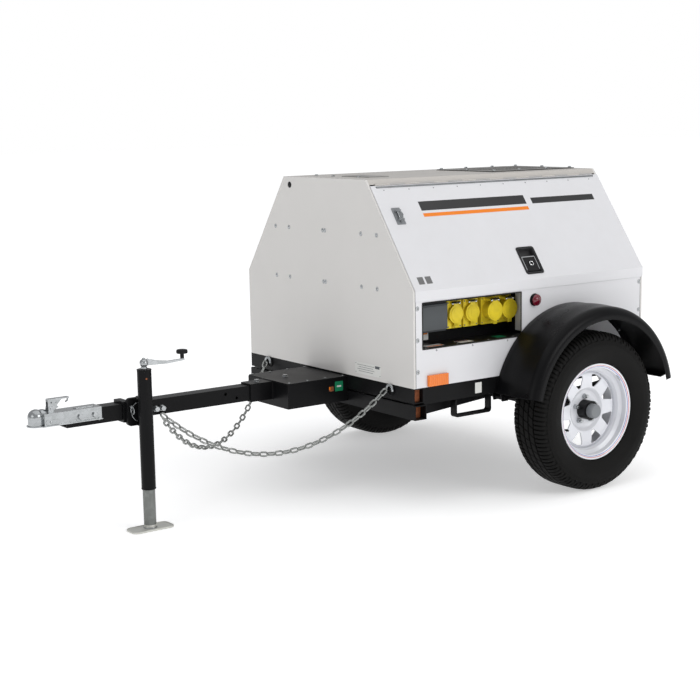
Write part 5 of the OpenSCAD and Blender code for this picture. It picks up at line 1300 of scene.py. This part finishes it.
def build_world():
    """White for the camera, and an even light for everything else."""
    scene = bpy.context.scene
    scene.world = bpy.data.worlds.new("studio")
    scene.world.use_nodes = True
    tree = scene.world.node_tree
    tree.nodes.clear()
    seen = add_node(tree, "ShaderNodeBackground", {"Strength": 1.0, "Color": (1, 1, 1, 1)})
    light = add_node(tree, "ShaderNodeBackground", {
        "Strength": scene.generator_sizes.room_light, "Color": (0.97, 0.98, 1, 1)})
    ray = add_node(tree, "ShaderNodeLightPath").outputs["Is Camera Ray"]
    mix = add_node(tree, "ShaderNodeMixShader", {0: ray, 1: light.outputs[0], 2: seen.outputs[0]})
    add_node(tree, "ShaderNodeOutputWorld", {0: mix.outputs[0]})


def area_lamp(name, place, target, size, power, colour=(1, 1, 1)):
    data = bpy.data.lights.new(name, "AREA")
    data.shape = "RECTANGLE"
    data.size, data.size_y = size
    data.energy = power * bpy.context.scene.generator_sizes.lamp_scale
    data.color = colour
    lamp = linked(name, data)
    lamp.location = place
    lamp.rotation_euler = (Vector(target) - Vector(place)).to_track_quat("-Z", "Y").to_euler()


def build_camera():
    data = bpy.data.cameras.new("camera")
    data.lens = 74.22
    data.sensor_width = 36.0
    cam = linked("camera", data)
    yaw, pitch, roll = math.radians(-36.015), math.radians(-9.269), math.radians(-0.985)
    forward = Vector((-math.sin(yaw) * math.cos(pitch), math.cos(yaw) * math.cos(pitch), math.sin(pitch)))
    level = Vector((math.cos(yaw), math.sin(yaw), 0))
    up = level.cross(forward)
    right = level * math.cos(roll) + up * math.sin(roll)
    up = up * math.cos(roll) - level * math.sin(roll)
    cam.matrix_world = Matrix((right, up, -forward)).transposed().to_4x4()
    cam.location = (-3.548, -5.0906, 1.6184)
    bpy.context.scene.camera = cam


def build_stage():
    build_floor()
    build_world()
    area_lamp("overhead", (0.2, -0.4, 5.2), (0.2, 0, 0), (7.0, 6.0), 90)
    area_lamp("side_key", (2.2, -6.0, 3.4), (0.5, 0, 0.6), (4.0, 3.0), 125, (1, 0.995, 0.985))
    area_lamp("front_fill", (-6.0, -1.5, 2.6), (0, 0, 0.6), (3.0, 2.5), 30)
    build_camera()
    bpy.context.scene.view_settings.view_transform = "Standard"


# ---------- add-on ----------
class GeneratorSizes(bpy.types.PropertyGroup):
    tread_depth: FloatProperty(name="Tread depth", description="Depth of the tyre's grooves", default=0.0085,
        unit="LENGTH")
    tread_pitches: IntProperty(name="Tread pitches", description="How often the tread pattern repeats round the tyre",
        default=54, min=24)
    wall_ribs: IntProperty(name="Wall ribs", description="Small ribs round the tyre's shoulder", default=144, min=24)
    fender_wall: FloatProperty(name="Fender wall", description="Thickness of the fender's sheet", default=0.004,
        unit="LENGTH")
    room_light: FloatProperty(name="Room light", description="Strength of the even light in the studio", default=0.5)
    lamp_scale: FloatProperty(name="Lamps", description="Strength of all lamps", default=1.0)


def colour_prop(name, text, value):
    return FloatVectorProperty(name=name, description=text, subtype="COLOR", size=3, min=0, max=1, default=value)


class GeneratorColours(bpy.types.PropertyGroup):
    panel: colour_prop("Panels", "Powder coat of the doors and sides", (0.7, 0.7, 0.72))
    # End panels: the panels' white paint made darker and warmer, as painted shade
    end_panel: colour_prop("End panels", "Powder coat of the front and rear panels", (0.66, 0.645, 0.625))
    # Roof: the panels' white paint made grey-beige, as painted shade
    roof: colour_prop("Roof", "Powder coat of the roof", (0.52, 0.495, 0.465))
    frame: colour_prop("Frame", "Enamel of the frame, tongue and jack", (0.0045, 0.0045, 0.005))
    fender: colour_prop("Fenders", "Moulded fenders", (0.0035, 0.0035, 0.004))
    tyre: colour_prop("Tyres", "Rubber of the tyres", (0.006, 0.0059, 0.0057))
    rim: colour_prop("Rims", "Enamel of the rims", (0.74, 0.75, 0.79))
    socket: colour_prop("Socket covers", "Moulded covers of the outlets", (0.97, 0.76, 0.035))


class Step:
    """What every operator shares: it runs its own builder."""

    def execute(self, context):
        self.build()
        return {"FINISHED"}


class GENERATOR_OT_finishes(Step, bpy.types.Operator):
    """Makes every material and lays it on the CAD nodes"""

    bl_idname = "generator.finishes"
    bl_label = "Finishes"
    build = staticmethod(make_finishes)


class GENERATOR_OT_wheels(Step, bpy.types.Operator):
    """Tyres with blocks and ribs, valve caps and balance weights"""

    bl_idname = "generator.wheels"
    bl_label = "Wheels"
    build = staticmethod(build_wheels)


class GENERATOR_OT_fenders(Step, bpy.types.Operator):
    """Crowned fender shells with their bolts"""

    bl_idname = "generator.fenders"
    bl_label = "Fenders"
    build = staticmethod(build_fenders)


class GENERATOR_OT_panels(Step, bpy.types.Operator):
    """Plates, washers, seals and joints of the canopy"""

    bl_idname = "generator.panels"
    bl_label = "Panels and roof"
    build = staticmethod(build_panels)


class GENERATOR_OT_recess(Step, bpy.types.Operator):
    """Seal, films, screws, hinges and covers of the outlets"""

    bl_idname = "generator.recess"
    bl_label = "Outlet recess"
    build = staticmethod(build_recess)


class GENERATOR_OT_doors(Step, bpy.types.Operator):
    """Bands, latch trim, linings, seals and keepers of both doors"""

    bl_idname = "generator.doors"
    bl_label = "Doors"
    build = staticmethod(build_doors)


class GENERATOR_OT_tongue(Step, bpy.types.Operator):
    """Welds, coupler, jack and tongue details"""

    bl_idname = "generator.tongue"
    bl_label = "Tongue and jack"
    build = staticmethod(build_tongue)


class GENERATOR_OT_inside(Step, bpy.types.Operator):
    """Radiator, fan guard, engine and tank details"""

    bl_idname = "generator.inside"
    bl_label = "Inside"
    build = staticmethod(build_inside)


class GENERATOR_OT_stage(Step, bpy.types.Operator):
    """Floor, lights and camera"""

    bl_idname = "generator.stage"
    bl_label = "Stage"
    build = staticmethod(build_stage)


STEPS = (
    GENERATOR_OT_finishes,
    GENERATOR_OT_wheels,
    GENERATOR_OT_fenders,
    GENERATOR_OT_panels,
    GENERATOR_OT_recess,
    GENERATOR_OT_doors,
    GENERATOR_OT_tongue,
    GENERATOR_OT_inside,
    GENERATOR_OT_stage,
)


class GENERATOR_PT_panel(bpy.types.Panel):
    bl_label = "Towable Generator"
    bl_idname = "GENERATOR_PT_panel"
    bl_space_type = "VIEW_3D"
    bl_region_type = "UI"
    bl_category = "Generator"

    def draw(self, context):
        for group in (context.scene.generator_sizes, context.scene.generator_colours):
            for name in group.__annotations__:
                self.layout.prop(group, name)
        for step in STEPS:
            self.layout.operator(step.bl_idname)


CLASSES = (GeneratorSizes, GeneratorColours, *STEPS, GENERATOR_PT_panel)


def register():
    for cls in CLASSES:
        bpy.utils.register_class(cls)
    bpy.types.Scene.generator_sizes = PointerProperty(type=GeneratorSizes)
    bpy.types.Scene.generator_colours = PointerProperty(type=GeneratorColours)


def unregister():
    del bpy.types.Scene.generator_colours
    del bpy.types.Scene.generator_sizes
    for cls in reversed(CLASSES):
        bpy.utils.unregister_class(cls)


def main():
    register()
    for step in STEPS:
        getattr(bpy.ops.generator, step.bl_idname.split(".")[1])()


if __name__ == "__main__":
    main()
